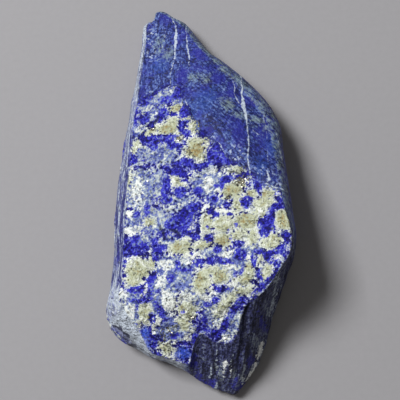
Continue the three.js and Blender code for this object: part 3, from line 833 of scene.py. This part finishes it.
def stone_sheet(steps, rows):
    """The stone's sheet: places around and ways down of its points, and index lists of its faces.

    A square disc of steps by steps covers the top. Rings hang from its rim, in as many rows as
    rows tells for the flank, the undercut and the underside, and close in one point below.
    """
    side = steps + 1
    turn, share = square_disc(steps)
    grid = np.arange(side**2).reshape(side, side)
    rim = np.concatenate([grid[:-1, -1], grid[-1, :0:-1], grid[:0:-1, 0], grid[0, :-1]])
    around = len(rim)
    way = np.concatenate([1 + leg + np.arange(1, n + 1) / n for leg, n in enumerate(rows)])[:-1]
    turns = np.concatenate([turn, np.repeat(turn[rim], len(way)), [0]])
    down = np.concatenate([share, np.tile(way, around), [4]])

    rings = np.column_stack([rim, side**2 + np.arange(around * len(way)).reshape(around, -1)])
    onward = np.roll(rings, -1, axis=0)
    top = np.dstack([grid[:-1, :-1], grid[1:, :-1], grid[1:, 1:], grid[:-1, 1:]])
    skirt = np.dstack([rings[:, :-1], onward[:, :-1], onward[:, 1:], rings[:, 1:]])
    cap = np.column_stack([rings[:, -1], onward[:, -1], np.full(around, len(turns) - 1)])
    faces = top.reshape(-1, 4).tolist() + skirt.reshape(-1, 4).tolist() + cap.tolist()
    return place_at(turns), down, faces


def build_stone(settings):
    """The stone's piece: the smooth form pushed out by its relief, cut flat where it rests."""
    rows = (settings.flank_rows, UNDERCUT_ROWS, BELLY_ROWS)
    place, down, faces = stone_sheet(settings.steps_across, rows)
    points = base_surface(place, down)
    piece = new_piece(STONE_PIECE, points, faces, stone_finish(settings))
    mesh = piece.data

    zones = surface_zones(points, place, down)
    levels = mark_levels(points, zones, down)
    height = relief(points, down, zones, settings)
    height += CREAM_HEIGHT * ease(levels["cream"], -0.2, 0.8) * zones["broken"]
    points += point_vectors(mesh.vertex_normals, "vector") * height[:, None]
    points[:, 2] = np.maximum(points[:, 2], 0)
    mesh.vertices.foreach_set("co", fit_to_box(points).ravel())
    mesh.update()
    store_levels(mesh, {**levels, **zones})
    return piece


def build_grains(settings, stone):
    """Pyrite cubes and cut cubes set into the stone where its brass level is high, as one piece.

    Points of the stone are drawn at random, likelier the higher the level. On each stands a cube
    of a random size and turn, sunk by a part of its size, whose corners are drawn in at random.
    Cubes that would reach below the flat underside are left out.
    """
    draw = np.random.default_rng(GRAIN_SEED)
    count = settings.grain_count
    mesh = stone.data
    is_broken = read_level(mesh, "broken") > 0.9
    chance = (ease(read_level(mesh, "brass"), -0.7, 0.6) ** 2 + settings.stray_grains) * is_broken
    chosen = draw.choice(len(chance), count, replace=False, p=chance / chance.sum())

    half = settings.grain_size * draw.uniform(SMALLEST_GRAIN, 1.0, count)[:, None] / 2
    corners = np.array(list(np.ndindex(2, 2, 2))) * 2.0 - 1
    turns = np.linalg.qr(draw.normal(size=(count, 3, 3)))[0]
    drawn_in = draw.uniform(CORNERS_DRAWN_IN, 1.0, (count, 8, 1))
    cubes = np.einsum("cj,njk->nck", corners, turns) * drawn_in * half[:, None]
    places = point_vectors(mesh.vertices, "co")[chosen]
    normals = point_vectors(mesh.vertex_normals, "vector")[chosen]
    cubes += (places + normals * half * GRAINS_STAND_OUT)[:, None]
    cubes = cubes[cubes[..., 2].min(axis=1) > CAD_BOX[0][2]]
    faces = (CUBE_SIDES + 8 * np.arange(len(cubes))[:, None, None]).reshape(-1, 4)
    piece = new_piece("pyrite_grains", cubes.reshape(-1, 3), faces.tolist(), pyrite_finish(settings))
    piece.data.shade_flat()
    return piece


# ---- finishes ------------------------------------------------------------------------------

# Sizes of the noises in the finishes, in millimetres.
MOTTLE_SIZE = 3.4
SPECK_SIZE = 0.75
GRAIN_SIZE = 1.1
FINE_GRAIN_SIZE = 0.5
HUE_SIZE = 5.0
SKIN_STREAK_SIZE = 0.55
SKIN_CLOUD_SIZE = 7.0
WALL_FIBRE_SIZE = 0.5
WALL_BAND_SIZE = 2.2
RIND_STRIPE_SIZE = 0.6
RIND_BAND_SIZE = 6.0
PYRITE_NOISE_SIZE = 0.3
FLOOR_TOOTH_SIZE = 1.5

# Streaks are noise whose coordinates are squeezed along their length: the smaller, the longer.
SKIN_SQUEEZE = 0.22
WALL_SQUEEZE = 0.12
RIND_SQUEEZE = 0.08
STREAKS_SLANT = (-6.0 * MM, 1.0 * MM)    # where the skin's streaks go over from upright to slanting
SLANT_ACROSS = (0.74, 0.67)              # the direction across the slanting streaks
RIND_RUN = 7.0 * MM                      # the rind's width from the brink to the widest line
RIND_WANDER = 0.3 * MM                   # how far the rind's stripes wander

BROKEN_ROUGHNESS = 0.45
CREAM_ROUGHNESS = 0.75
SKIN_ROUGHNESS = 0.42
PYRITE_ROUGHNESS = 0.6
FLOOR_ROUGHNESS = 0.9
BROKEN_TILT = 1.1                        # how far the finest grains of a broken face are tipped over
SKIN_TILT = 0.5
BUMP_HEIGHT = 1.0 * MM
SKIN_BUMP = 0.4                          # height of the skin's bump, as a share of a broken face's
FLOOR_TOOTH = 0.93                       # the floor's darkest grey, as a share of its lightest


def paint(code):
    """A colour in the renderer's linear values, from its six-digit screen code."""
    shares = np.array([int(code[k:k + 2], 16) for k in (0, 2, 4)]) / 255
    return tuple(np.where(shares <= 0.04045, shares / 12.92, ((shares + 0.055) / 1.055) ** 2.4))


class Finish:
    """A material's node tree, with short methods that add a node and return its output."""

    def __init__(self, name):
        self.material = bpy.data.materials.new(name)
        self.material.use_nodes = True
        self.tree = self.material.node_tree
        self.shader = self.tree.nodes["Principled BSDF"]
        self.place = self.add("ShaderNodeTexCoord").outputs["Object"]

    def add(self, kind, *values, **options):
        """A new node of a kind, with its first inputs fed in order and its options set."""
        node = self.tree.nodes.new(kind)
        for key, value in options.items():
            setattr(node, key, value)
        for socket, value in zip(node.inputs, values):
            self.feed(socket, value)
        return node

    def feed(self, socket, value):
        """Links a node's output to the socket, or sets the socket to a number or a colour."""
        if isinstance(value, bpy.types.NodeSocket):
            self.tree.links.new(value, socket)
        elif socket.type == "RGBA":
            socket.default_value = (*value, 1)
        else:
            socket.default_value = value

    def level(self, name):
        """An attribute of the mesh's points."""
        return self.add("ShaderNodeAttribute", attribute_name=name).outputs["Fac"]

    def math(self, operation, *values):
        """The result of an operation on one or more numbers."""
        return self.add("ShaderNodeMath", *values, operation=operation).outputs[0]

    def times(self, first, second):
        """The product of two numbers."""
        return self.math("MULTIPLY", first, second)

    def rest(self, share):
        """What a share leaves of 1."""
        return self.math("SUBTRACT", 1.0, share)

    def total(self, *terms, offset=0.0):
        """The offset plus the sum of (value, weight) pairs."""
        result = offset
        for value, weight in terms:
            result = self.math("MULTIPLY_ADD", value, weight, result)
        return result

    def step(self, value, low, high):
        """0 where value is below low, 1 above high, smooth between."""
        node = self.add("ShaderNodeMapRange", value, low, high, interpolation_type="SMOOTHSTEP")
        return node.outputs["Result"]

    def ramp(self, value, *stops):
        """A colour read from value along (position, colour) stops."""
        node = self.add("ShaderNodeValToRGB", value)
        elements = node.color_ramp.elements
        while len(elements) < len(stops):
            elements.new(0.5)
        for element, (position, colour) in zip(elements, stops):
            element.position = position
            element.color = (*colour, 1)
        return node.outputs["Color"]

    def noise(self, size, detail=4.0, roughness=0.6, where=None):
        """Soft noise from 0 to 1 with features of a size in millimetres."""
        node = self.add("ShaderNodeTexNoise", where or self.place)
        node.inputs["Scale"].default_value = 1 / (size * MM)
        node.inputs["Detail"].default_value = detail
        node.inputs["Roughness"].default_value = roughness
        return node.outputs["Fac"]

    def grains(self, size):
        """Grains of a size in millimetres, each with a random colour."""
        node = self.add("ShaderNodeTexVoronoi", self.place)
        node.inputs["Scale"].default_value = 1 / (size * MM)
        return node.outputs["Color"]

    def blend(self, share, first, second):
        """Colour first where share is 0, second where it is 1."""
        node = self.add("ShaderNodeMix", share, data_type="RGBA")
        self.feed(node.inputs[6], first)
        self.feed(node.inputs[7], second)
        return node.outputs[2]

    def tint(self, colour, share, strength, second):
        """The colour, drawn towards a second one by the share times the strength."""
        return self.blend(self.times(share, strength), colour, second)

    def number_blend(self, share, first, second):
        """Number first where share is 0, second where it is 1."""
        node = self.add("ShaderNodeMix", share, data_type="FLOAT")
        self.feed(node.inputs[2], first)
        self.feed(node.inputs[3], second)
        return node.outputs[0]

    def join(self, x, y, z):
        """A vector of three numbers."""
        return self.add("ShaderNodeCombineXYZ", x, y, z).outputs[0]

    def split(self, vector):
        """The three numbers of a vector or a colour."""
        return self.add("ShaderNodeSeparateXYZ", vector).outputs

    def vector(self, operation, *values):
        """The result of an operation on one or two vectors."""
        return self.add("ShaderNodeVectorMath", *values, operation=operation).outputs["Vector"]

    def tilted(self, random_colour, amount):
        """The surface's normal, tipped over by up to half the amount after a random colour."""
        node = self.add("ShaderNodeVectorMath", operation="SCALE")
        self.feed(node.inputs["Vector"], self.vector("SUBTRACT", random_colour, (0.5, 0.5, 0.5)))
        self.feed(node.inputs["Scale"], amount)
        normal = self.add("ShaderNodeNewGeometry").outputs["Normal"]
        return self.vector("NORMALIZE", self.vector("ADD", normal, node.outputs["Vector"]))


def layer_coordinates(finish, squeeze):
    """Coordinates in metres: the first is the layer number, the others are y and z squeezed."""
    across = finish.times(finish.level("layer"), MM)
    _, y, z = finish.split(finish.place)
    return finish.join(across, finish.times(y, squeeze), finish.times(z, squeeze))


def slant_coordinates(finish, squeeze):
    """The same for streaks that run down to the right, as the worn edge does.

    The first coordinate is the part of (x, y) along SLANT_ACROSS, the second the part square to it.
    """
    x, y, z = finish.split(finish.place)
    right, up = SLANT_ACROSS
    across = finish.total((x, right), (y, up))
    along = finish.total((x, up * squeeze), (y, -right * squeeze))
    return finish.join(across, along, z)


def grit(finish):
    """The shared noises of the stone: soft ones, and grains with a random number each.

    Tone, coarse and ragged are sums of them, each about 0 on average.
    """
    mottle = finish.noise(MOTTLE_SIZE, 5, 0.6)
    speck = finish.noise(SPECK_SIZE, 3, 0.6)
    grain = finish.split(finish.grains(GRAIN_SIZE))[0]
    tilt = finish.grains(FINE_GRAIN_SIZE)
    fine, dust, _ = finish.split(tilt)
    return {
        "mottle": mottle,
        "speck": speck,
        "fine": fine,
        "dust": dust,
        "tilt": tilt,
        "tone": finish.total((mottle, 1.1), (speck, 1.6), (grain, 0.36), (fine, 0.45), offset=-1.755),
        "coarse": finish.total((mottle, 1.2), (speck, 1.5), (grain, 0.3), (fine, 0.12), offset=-1.56),
        "ragged": finish.total((speck, 2.6), (mottle, 1.2), (grain, 0.35), offset=-2.08),
        "hue": finish.noise(HUE_SIZE, 3, 0.55),
    }


def mark(finish, noises, name, low, high, rag=1.0):
    """The share of a mark: 0 below low and 1 above high millimetres inside its ragged rim."""
    return finish.step(finish.total((finish.level(name), 1.0), (noises["ragged"], rag)), low, high)


def laced_colour(finish, settings, noises, in_deep):
    """Ultramarine grains laced with calcite: more white in chalk and near cream, mixed in haze."""
    tone, dust = noises["tone"], noises["dust"]
    in_chalk_and_glint = mark(finish, noises, "chalk_and_glint", -0.5, 0.5, 1.3)
    near_cream = mark(finish, noises, "cream", -1.0, -0.2, 1.4)
    in_haze = finish.times(mark(finish, noises, "haze", -0.6, 0.8, 1.4), finish.rest(in_deep))
    pale = finish.math("MAXIMUM", in_chalk_and_glint, near_cream)

    # Painted glints: the lightest fine grains make the blue lighter, as light glancing off crystal
    # faces.
    glint_flecks = finish.step(dust, 0.8, 0.95)
    blue = finish.ramp(
        finish.total((tone, 1.1), (in_haze, 0.26), (glint_flecks, 0.3), offset=0.38),
        (0.08, settings.deep_blue),
        (0.36, settings.ultramarine),
        (0.62, settings.bright_blue),
        (0.84, settings.blue_grey),
    )
    blue = finish.tint(blue, in_haze, 0.6, settings.steel)

    white = finish.ramp(
        finish.total((tone, 1.1), (pale, 0.24), (in_chalk_and_glint, 0.32), (in_haze, -0.2), offset=0.4),
        (0.02, settings.blue_grey),
        (0.3, settings.grey_calcite),
        (0.95, settings.calcite),
    )
    warm = finish.total((finish.step(noises["hue"], 0.5, 0.66), 0.35), (near_cream, 0.3))
    white = finish.blend(warm, white, settings.pale_cream)
    # Some fine grains outside chalk go steel blue: partly blue grains, partly painted shade of sunken
    # grains.
    sunken_shade_and_blue = finish.times(finish.step(dust, 0.2, 0.1), finish.rest(in_chalk_and_glint))
    white = finish.tint(white, sunken_shade_and_blue, 0.5, settings.steel)

    share = finish.total(
        (finish.level("ground"), 1.0),
        (noises["coarse"], 1.0),
        (in_haze, 0.14),
        (pale, 0.42),
        (in_deep, -0.6),
        offset=-0.525,
    )
    share = finish.times(share, finish.number_blend(in_haze, 1.0, 0.45))
    scatter = finish.times(finish.total((dust, 1.0), offset=-0.5), in_haze)
    white_share = finish.step(finish.total((share, 1.0), (scatter, 0.3)), -0.2, 0.2)
    return finish.blend(white_share, blue, white)


def cream_colour(finish, settings, noises):
    """Cream grains, browner towards the middle of the tan patches."""
    brown = finish.step(finish.total((finish.level("tan"), 0.5), (noises["ragged"], 0.4)), -0.5, 0.7)
    return finish.ramp(
        finish.total((noises["tone"], 0.85), (brown, -0.32), offset=0.62),
        (0.08, settings.tan),
        (0.44, settings.cream),
        (0.85, settings.pale_cream),
        (1.0, settings.calcite),
    )


def skin_colour(finish, settings, noises, in_deep):
    """Worn satin blue, finely streaked and tinged azure and green. Its pale specks are partly its own
    and partly painted glints, and along the worn rim the green is partly a painted highlight.
    """
    speck, fine = noises["speck"], noises["fine"]
    upright = finish.noise(SKIN_STREAK_SIZE, 4, 0.7, layer_coordinates(finish, SKIN_SQUEEZE))
    slanting = finish.noise(SKIN_STREAK_SIZE, 4, 0.7, slant_coordinates(finish, SKIN_SQUEEZE))
    to_right = finish.step(finish.split(finish.place)[0], *STREAKS_SLANT)
    streaks = finish.number_blend(to_right, upright, slanting)
    on_side = finish.step(finish.level("depth"), 1.05, 1.4)
    in_haze = finish.times(mark(finish, noises, "haze", -0.6, 0.8), finish.rest(on_side))
    # Pale specks: partly the skin's own speckle, partly painted glints.
    specks_and_glints = finish.step(noises["dust"], 0.76, 0.92)

    top_light = finish.total(
        (streaks, 2.2),
        (speck, 1.1),
        (fine, 0.5),
        (noises["mottle"], 0.6),
        (specks_and_glints, 0.25),
        (in_haze, 0.1),
        (in_deep, -0.08),
    )
    side_light = finish.total(
        (streaks, 1.2),
        (speck, 0.8),
        (fine, 0.3),
        (noises["mottle"], 1.2),
        (specks_and_glints, 0.1),
        (finish.noise(SKIN_CLOUD_SIZE, 4, 0.6), 1.6),
        (finish.level("pale"), 0.1),
        offset=-0.35,
    )
    light = finish.number_blend(on_side, top_light, side_light)
    blue = finish.ramp(
        finish.total((light, 1.0), offset=-1.9),
        (0.1, settings.skin_dark),
        (0.45, settings.skin_blue),
        (0.78, settings.skin_light),
        (1.0, settings.blue_grey),
    )
    blue = finish.tint(blue, finish.times(specks_and_glints, in_haze), 0.7, settings.vein_and_highlight)
    tinged = finish.total((noises["hue"], 1.0), (speck, 0.4), (fine, 0.1))
    violet = finish.total((finish.step(tinged, 0.74, 0.86), 0.4), (in_deep, 0.4))
    blue = finish.blend(finish.math("MINIMUM", violet, 0.6), blue, settings.skin_violet)
    azure = mark(finish, noises, "azure", -0.8, 1.2, 2.0)
    blue = finish.tint(blue, azure, 0.3, settings.azure)
    # The green holds the worn rim's painted highlight as well as the green patches.
    green = mark(finish, noises, "green", -0.8, 1.0, 2.4)
    green = finish.times(green, finish.step(streaks, 0.35, 0.6))
    return finish.tint(blue, green, 0.65, settings.green)


def wall_colour(finish, settings, noises, in_deep):
    """Dark navy fibres with grey streaks drawn out along the layers."""
    where = layer_coordinates(finish, WALL_SQUEEZE)
    fibres = finish.noise(WALL_FIBRE_SIZE, 4, 0.65, where)
    light = finish.total(
        (fibres, 1.5),
        (finish.noise(WALL_BAND_SIZE, 3, 0.5, where), 0.75),
        (noises["speck"], 0.65),
        (noises["fine"], 0.3),
        (mark(finish, noises, "chalk_and_glint", -0.3, 0.4), 0.28),
        (finish.level("ribbed"), -0.03),
        offset=-1.26,
    )
    dark = finish.ramp(
        light,
        (0.12, settings.wall_dark),
        (0.42, settings.wall_light),
        (1.0, settings.grey_calcite),
    )
    violet = finish.times(in_deep, finish.step(fibres, 0.8, 0.3))
    return finish.blend(violet, dark, settings.skin_violet)


def rind_colour(finish, settings, noises, in_deep):
    """Thin stripes of pale green, lavender and dark blue along the layers."""
    x, y, _ = finish.split(finish.place)
    depth = finish.level("depth")
    across = finish.total((depth, RIND_RUN), (noises["speck"], RIND_WANDER))
    where = finish.join(across, finish.times(x, RIND_SQUEEZE), finish.times(y, RIND_SQUEEZE))
    light = finish.total(
        (finish.noise(RIND_STRIPE_SIZE, 5, 0.75, where), 6.5),
        (finish.noise(RIND_BAND_SIZE, 3, 0.5), 1.2),
        (noises["tone"], 0.6),
        (finish.level("pale"), 0.52),
        (finish.step(depth, 1.35, 1.9), -0.6),
        offset=-3.22,
    )
    rind = finish.ramp(
        light,
        (0.1, settings.rind_dark),
        (0.4, settings.rind_lavender),
        (0.58, settings.rind_green),
        (0.9, settings.rind_pale),
    )
    return finish.tint(rind, in_deep, 0.5, settings.skin_violet)


def stone_finish(settings):
    """The stone's one material: each zone's colour, roughness and bump, mixed by the zones."""
    finish = Finish("lapis")
    noises = grit(finish)
    speck, fine = noises["speck"], noises["fine"]
    in_deep = mark(finish, noises, "deep", -0.15, 0.2)
    in_cream = finish.times(mark(finish, noises, "cream", -0.22, 0.03), finish.rest(in_deep))
    azure = mark(finish, noises, "azure", -0.3, 0.5)
    skin = finish.level("skin")
    frayed = finish.times(noises["ragged"], finish.times(skin, finish.rest(skin)))
    skin = finish.step(finish.total((skin, 1.0), (frayed, 6.0)), 0.3, 0.7)
    wall = finish.level("wall")
    rind = finish.math("MAXIMUM", finish.level("shoulder"), finish.level("bevel"))

    colour = laced_colour(finish, settings, noises, in_deep)
    colour = finish.blend(in_cream, colour, cream_colour(finish, settings, noises))
    colour = finish.tint(colour, azure, 0.75, settings.bright_azure)
    colour = finish.blend(skin, colour, skin_colour(finish, settings, noises, in_deep))
    colour = finish.blend(wall, colour, wall_colour(finish, settings, noises, in_deep))
    colour = finish.blend(rind, colour, rind_colour(finish, settings, noises, in_deep))

    # Pale seams and veins, with the painted edge highlights, in the vein colour.
    stroke = mark(finish, noises, "stroke", -0.12, 0.12, finish.number_blend(skin, 0.6, 0.2))
    stroke = finish.times(stroke, finish.step(speck, 0.15, 0.5))
    chipped = finish.times(wall, mark(finish, noises, "chalk_and_glint", -0.6, 0.0))
    colour = finish.blend(stroke, colour, finish.blend(chipped, settings.vein_and_highlight, settings.calcite))
    in_brass = mark(finish, noises, "brass", -0.5, 0.6, 1.2)
    pepper = finish.times(in_brass, finish.step(noises["dust"], 0.42, 0.32))
    colour = finish.tint(colour, pepper, 0.9, settings.brown_stain)
    # Painted shade: the cracks and grooves are darkened towards the dark fracture colour.
    crack_shade = mark(finish, noises, "crack_shade", -0.25, 0.15, 0.5)
    colour = finish.tint(colour, crack_shade, 0.85, settings.wall_dark)
    finish.feed(finish.shader.inputs["Base Color"], colour)
    finish.shader.inputs["Specular IOR Level"].default_value = settings.sheen

    rough = finish.number_blend(in_cream, BROKEN_ROUGHNESS, CREAM_ROUGHNESS)
    rough = finish.number_blend(skin, rough, SKIN_ROUGHNESS)
    rough = finish.total((rough, 1.0), (fine, 0.15), (speck, 0.1))
    finish.feed(finish.shader.inputs["Roughness"], rough)

    height = finish.total((speck, 1.0), (noises["mottle"], 1.0))
    height = finish.times(height, finish.number_blend(skin, 1.0, SKIN_BUMP))
    tilted = finish.tilted(noises["tilt"], finish.number_blend(skin, BROKEN_TILT, SKIN_TILT))
    bump = finish.add("ShaderNodeBump")
    bump.inputs["Strength"].default_value = 1.0
    bump.inputs["Distance"].default_value = BUMP_HEIGHT
    finish.feed(bump.inputs["Height"], height)
    finish.feed(bump.inputs["Normal"], tilted)
    finish.feed(finish.shader.inputs["Normal"], bump.outputs["Normal"])
    return finish.material


def pyrite_finish(settings):
    """Bright brassy metal, a little uneven."""
    finish = Finish("pyrite")
    finish.feed(finish.shader.inputs["Base Color"], tuple(settings.brass))
    finish.shader.inputs["Metallic"].default_value = 1.0
    rough = finish.times(finish.noise(PYRITE_NOISE_SIZE), PYRITE_ROUGHNESS)
    finish.feed(finish.shader.inputs["Roughness"], rough)
    return finish.material


def floor_finish(settings):
    """Matt pale grey with a barely visible tooth."""
    finish = Finish("floor")
    colour = tuple(settings.floor_colour)
    darker = tuple(FLOOR_TOOTH * share for share in colour)
    tooth = finish.noise(FLOOR_TOOTH_SIZE, 2, 0.5)
    finish.feed(finish.shader.inputs["Base Color"], finish.blend(tooth, darker, colour))
    finish.shader.inputs["Roughness"].default_value = FLOOR_ROUGHNESS
    return finish.material


# ---- settings ------------------------------------------------------------------------------


def colour_setting(name, code, description):
    """A colour property, from a six-digit screen code."""
    return FloatVectorProperty(
        name=name, description=description, subtype="COLOR", size=3, min=0, max=1, default=paint(code)
    )


def length_setting(name, millimetres, description):
    """A length property, from a size in millimetres."""
    return FloatProperty(
        name=name, description=description, unit="LENGTH", precision=5, min=0, default=millimetres * MM
    )


class LapisStoneSettings(bpy.types.PropertyGroup):
    """Relief and colours of the stone."""

    steps_across: IntProperty(
        name="Steps across", description="Mesh steps across the top", default=200, min=16
    )
    flank_rows: IntProperty(
        name="Flank rows", description="Mesh rows from the brink to the widest point", default=32, min=4
    )
    grain_relief: length_setting("Grain relief", 0.28, "How far broken grains stand out")
    wave_relief: length_setting("Wave relief", 0.7, "How far the faces roll")
    splinter_relief: length_setting("Splinter relief", 0.7, "How far the layered ridges stand out")
    sheen: FloatProperty(
        name="Sheen",
        description="Strength of the surface's gloss",
        subtype="FACTOR",
        default=0.3,
        min=0,
        max=1,
    )
    deep_blue: colour_setting("Deep blue", "0D0856", "Darkest blue grains")
    ultramarine: colour_setting("Ultramarine", "211FAC", "Main blue grains")
    bright_blue: colour_setting("Bright blue", "4446D0", "Lightest blue grains")
    blue_grey: colour_setting("Blue grey", "8090C4", "Where blue and white grains mix")
    steel: colour_setting("Steel blue", "6474B0", "Blue grains where grey and blue are finely mixed")
    grey_calcite: colour_setting("Grey calcite", "AAB8BA", "Greyish mineral")
    calcite: colour_setting("Calcite", "F4F8F6", "White mineral")
    # Also the colour of the painted edge highlights and of the skin's painted glints.
    vein_and_highlight: colour_setting("Vein", "B4C0D0", "Pale veins in the worn skin")
    azure: colour_setting("Azure", "2850A8", "Lighter blue patches")
    bright_azure: colour_setting("Bright azure", "3458D4", "Lighter blue patches of the broken face")
    tan: colour_setting("Tan", "9C8A5C", "Darkest parts of the cream patches")
    cream: colour_setting("Cream", "B2B898", "Cream patches")
    pale_cream: colour_setting("Pale cream", "DCE2D0", "Lightest parts of the cream patches")
    brown_stain: colour_setting("Brown stain", "2C2A2C", "Dark stain around pyrite")
    skin_dark: colour_setting("Dark skin", "0C1448", "Dark streaks of the worn skin")
    skin_blue: colour_setting("Blue skin", "2A3A88", "Main colour of the worn skin")
    skin_light: colour_setting("Light skin", "6880B6", "Light streaks of the worn skin")
    skin_violet: colour_setting("Violet skin", "28289A", "Violet parts of the worn skin")
    # Also the colour of the painted highlight on the skin's worn rim.
    green: colour_setting("Green tinge", "869A90", "Greenish tinge on the worn skin")
    wall_dark: colour_setting("Dark fracture", "12142E", "Dark fibres of the fracture wall")
    wall_light: colour_setting("Light fracture", "3C4070", "Light fibres of the fracture wall")
    rind_dark: colour_setting("Dark rind", "30347A", "Dark stripes of the rind")
    rind_lavender: colour_setting("Lavender rind", "8C94C4", "Lavender stripes of the rind")
    rind_green: colour_setting("Green rind", "9AA6B4", "Greyish green stripes of the rind")
    rind_pale: colour_setting("Pale rind", "C0CAD8", "Lightest stripes of the rind")


class LapisGrainSettings(bpy.types.PropertyGroup):
    """Number, size and colour of the pyrite grains."""

    grain_count: IntProperty(name="Grains", description="Number of pyrite grains", default=260, min=1)
    grain_size: length_setting("Grain size", 0.4, "Width of the largest grains")
    stray_grains: FloatProperty(
        name="Stray grains",
        description="Chance of grains away from the clusters",
        subtype="FACTOR",
        default=0.004,
        min=0,
        max=1,
    )
    brass: colour_setting("Brass", "B4B0A0", "Pyrite grains")


class LapisStageSettings(bpy.types.PropertyGroup):
    """Floor and light."""

    floor_colour: colour_setting("Floor", "929194", "Plain pale floor")
    key_power: FloatProperty(
        name="Key light", description="Power of the soft key light", unit="POWER", default=10.3, min=0
    )
    key_size: length_setting("Key size", 320.0, "Side of the soft key light")
    fill: FloatProperty(
        name="Fill light", description="Strength of the even light from all round", default=0.21, min=0
    )


# ---- operators -----------------------------------------------------------------------------


class LAPIS_OT_stone(bpy.types.Operator):
    """Build the stone's fine surface and its finish"""

    bl_idname = "lapis.stone"
    bl_label = "Rough Stone"

    def execute(self, context):
        settings = context.scene.lapis_stone
        piece = build_stone(settings)
        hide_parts(STONE_NODE)
        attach(piece, BODY)
        return {"FINISHED"}


class LAPIS_OT_grains(bpy.types.Operator):
    """Set pyrite grains into the finished stone"""

    bl_idname = "lapis.grains"
    bl_label = "Pyrite Grains"

    def execute(self, context):
        stone = bpy.data.objects.get(STONE_PIECE)
        if stone is None:
            raise RuntimeError("the grains need the rough stone to be built first")
        piece = build_grains(context.scene.lapis_grains, stone)
        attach(piece, BODY)
        return {"FINISHED"}


# The camera looks down on the stone from the thick end, a little from the right. Lengths are in
# millimetres and angles in degrees.
CAMERA_LENS = 81.0
CAMERA_SENSOR = 36.0
CAMERA_TILT = 17.0       # from straight down
CAMERA_TURN = 29.0       # from the thick end towards the right
CAMERA_REACH = 235.6
CAMERA_AIM = (0.0, -4.4, 10.0)
KEY_DIRECTION = (-0.42, 0.27, 0.866)
KEY_REACH = 900.0
FLOOR_SIDE = 3000.0
SKY_COLOUR = "FAF6F0"
NORTH = (0, 1, 0)        # what the camera and the key light have at their upper edge


def look_from(direction, aim, reach):
    """A matrix for a lens or lamp that stands reach away from aim along direction, facing it."""
    back = Vector(direction).normalized()
    right = Vector(NORTH).cross(back).normalized()
    turn = Matrix((right, back.cross(right), back)).transposed().to_4x4()
    return Matrix.Translation(Vector(aim) + back * reach) @ turn


class LAPIS_OT_stage(bpy.types.Operator):
    """Build the floor, the lights and the camera"""

    bl_idname = "lapis.stage"
    bl_label = "Stage"

    def execute(self, context):
        scene = context.scene
        settings = scene.lapis_stage
        half = FLOOR_SIDE * MM / 2
        corners = [(-half, -half, 0), (half, -half, 0), (half, half, 0), (-half, half, 0)]
        floor = new_piece("floor", corners, [(0, 1, 2, 3)], floor_finish(settings))

        key = bpy.data.lights.new("key", "AREA")
        key.energy = settings.key_power
        key.size = settings.key_size
        new_object("key", key).matrix_world = look_from(KEY_DIRECTION, (0, 0, 0), KEY_REACH * MM)

        world = bpy.data.worlds.new("studio")
        world.use_nodes = True
        sky = world.node_tree.nodes["Background"]
        sky.inputs["Color"].default_value = (*paint(SKY_COLOUR), 1)
        sky.inputs["Strength"].default_value = settings.fill
        scene.world = world

        lens = bpy.data.cameras.new("camera")
        lens.lens = CAMERA_LENS
        lens.sensor_width = CAMERA_SENSOR
        tilt, turn = np.radians(CAMERA_TILT), np.radians(CAMERA_TURN)
        direction = (np.sin(turn) * np.sin(tilt), -np.cos(turn) * np.sin(tilt), np.cos(tilt))
        aim = Vector(CAMERA_AIM) * MM
        camera = new_object("camera", lens)
        camera.matrix_world = look_from(direction, aim, CAMERA_REACH * MM)
        scene.camera = camera
        scene.view_settings.view_transform = "Standard"
        return {"FINISHED"}


class LAPIS_PT_panel(bpy.types.Panel):
    """Lists the stone's settings and the buttons that build it"""

    bl_idname = "LAPIS_PT_panel"
    bl_label = "Rough Lapis"
    bl_space_type = "VIEW_3D"
    bl_region_type = "UI"
    bl_category = "Lapis"

    def draw(self, context):
        for operator, settings in (
            (LAPIS_OT_stone, context.scene.lapis_stone),
            (LAPIS_OT_grains, context.scene.lapis_grains),
            (LAPIS_OT_stage, context.scene.lapis_stage),
        ):
            box = self.layout.box()
            for name in settings.__annotations__:
                box.prop(settings, name)
            box.operator(operator.bl_idname)


CLASSES = (
    LapisStoneSettings, LapisGrainSettings, LapisStageSettings,
    LAPIS_OT_stone, LAPIS_OT_grains, LAPIS_OT_stage, LAPIS_PT_panel,
)


def register():
    """Adds the add-on's classes and the scene's settings."""
    for each in CLASSES:
        bpy.utils.register_class(each)
    bpy.types.Scene.lapis_stone = PointerProperty(type=LapisStoneSettings)
    bpy.types.Scene.lapis_grains = PointerProperty(type=LapisGrainSettings)
    bpy.types.Scene.lapis_stage = PointerProperty(type=LapisStageSettings)


def unregister():
    """Takes away what register adds."""
    del bpy.types.Scene.lapis_stage
    del bpy.types.Scene.lapis_grains
    del bpy.types.Scene.lapis_stone
    for each in reversed(CLASSES):
        bpy.utils.unregister_class(each)


def main():
    """Builds the stage, the stone and its grains."""
    register()
    bpy.ops.lapis.stage()
    bpy.ops.lapis.stone()
    bpy.ops.lapis.grains()
    bpy.context.view_layer.update()


if __name__ == "__main__":
    main()
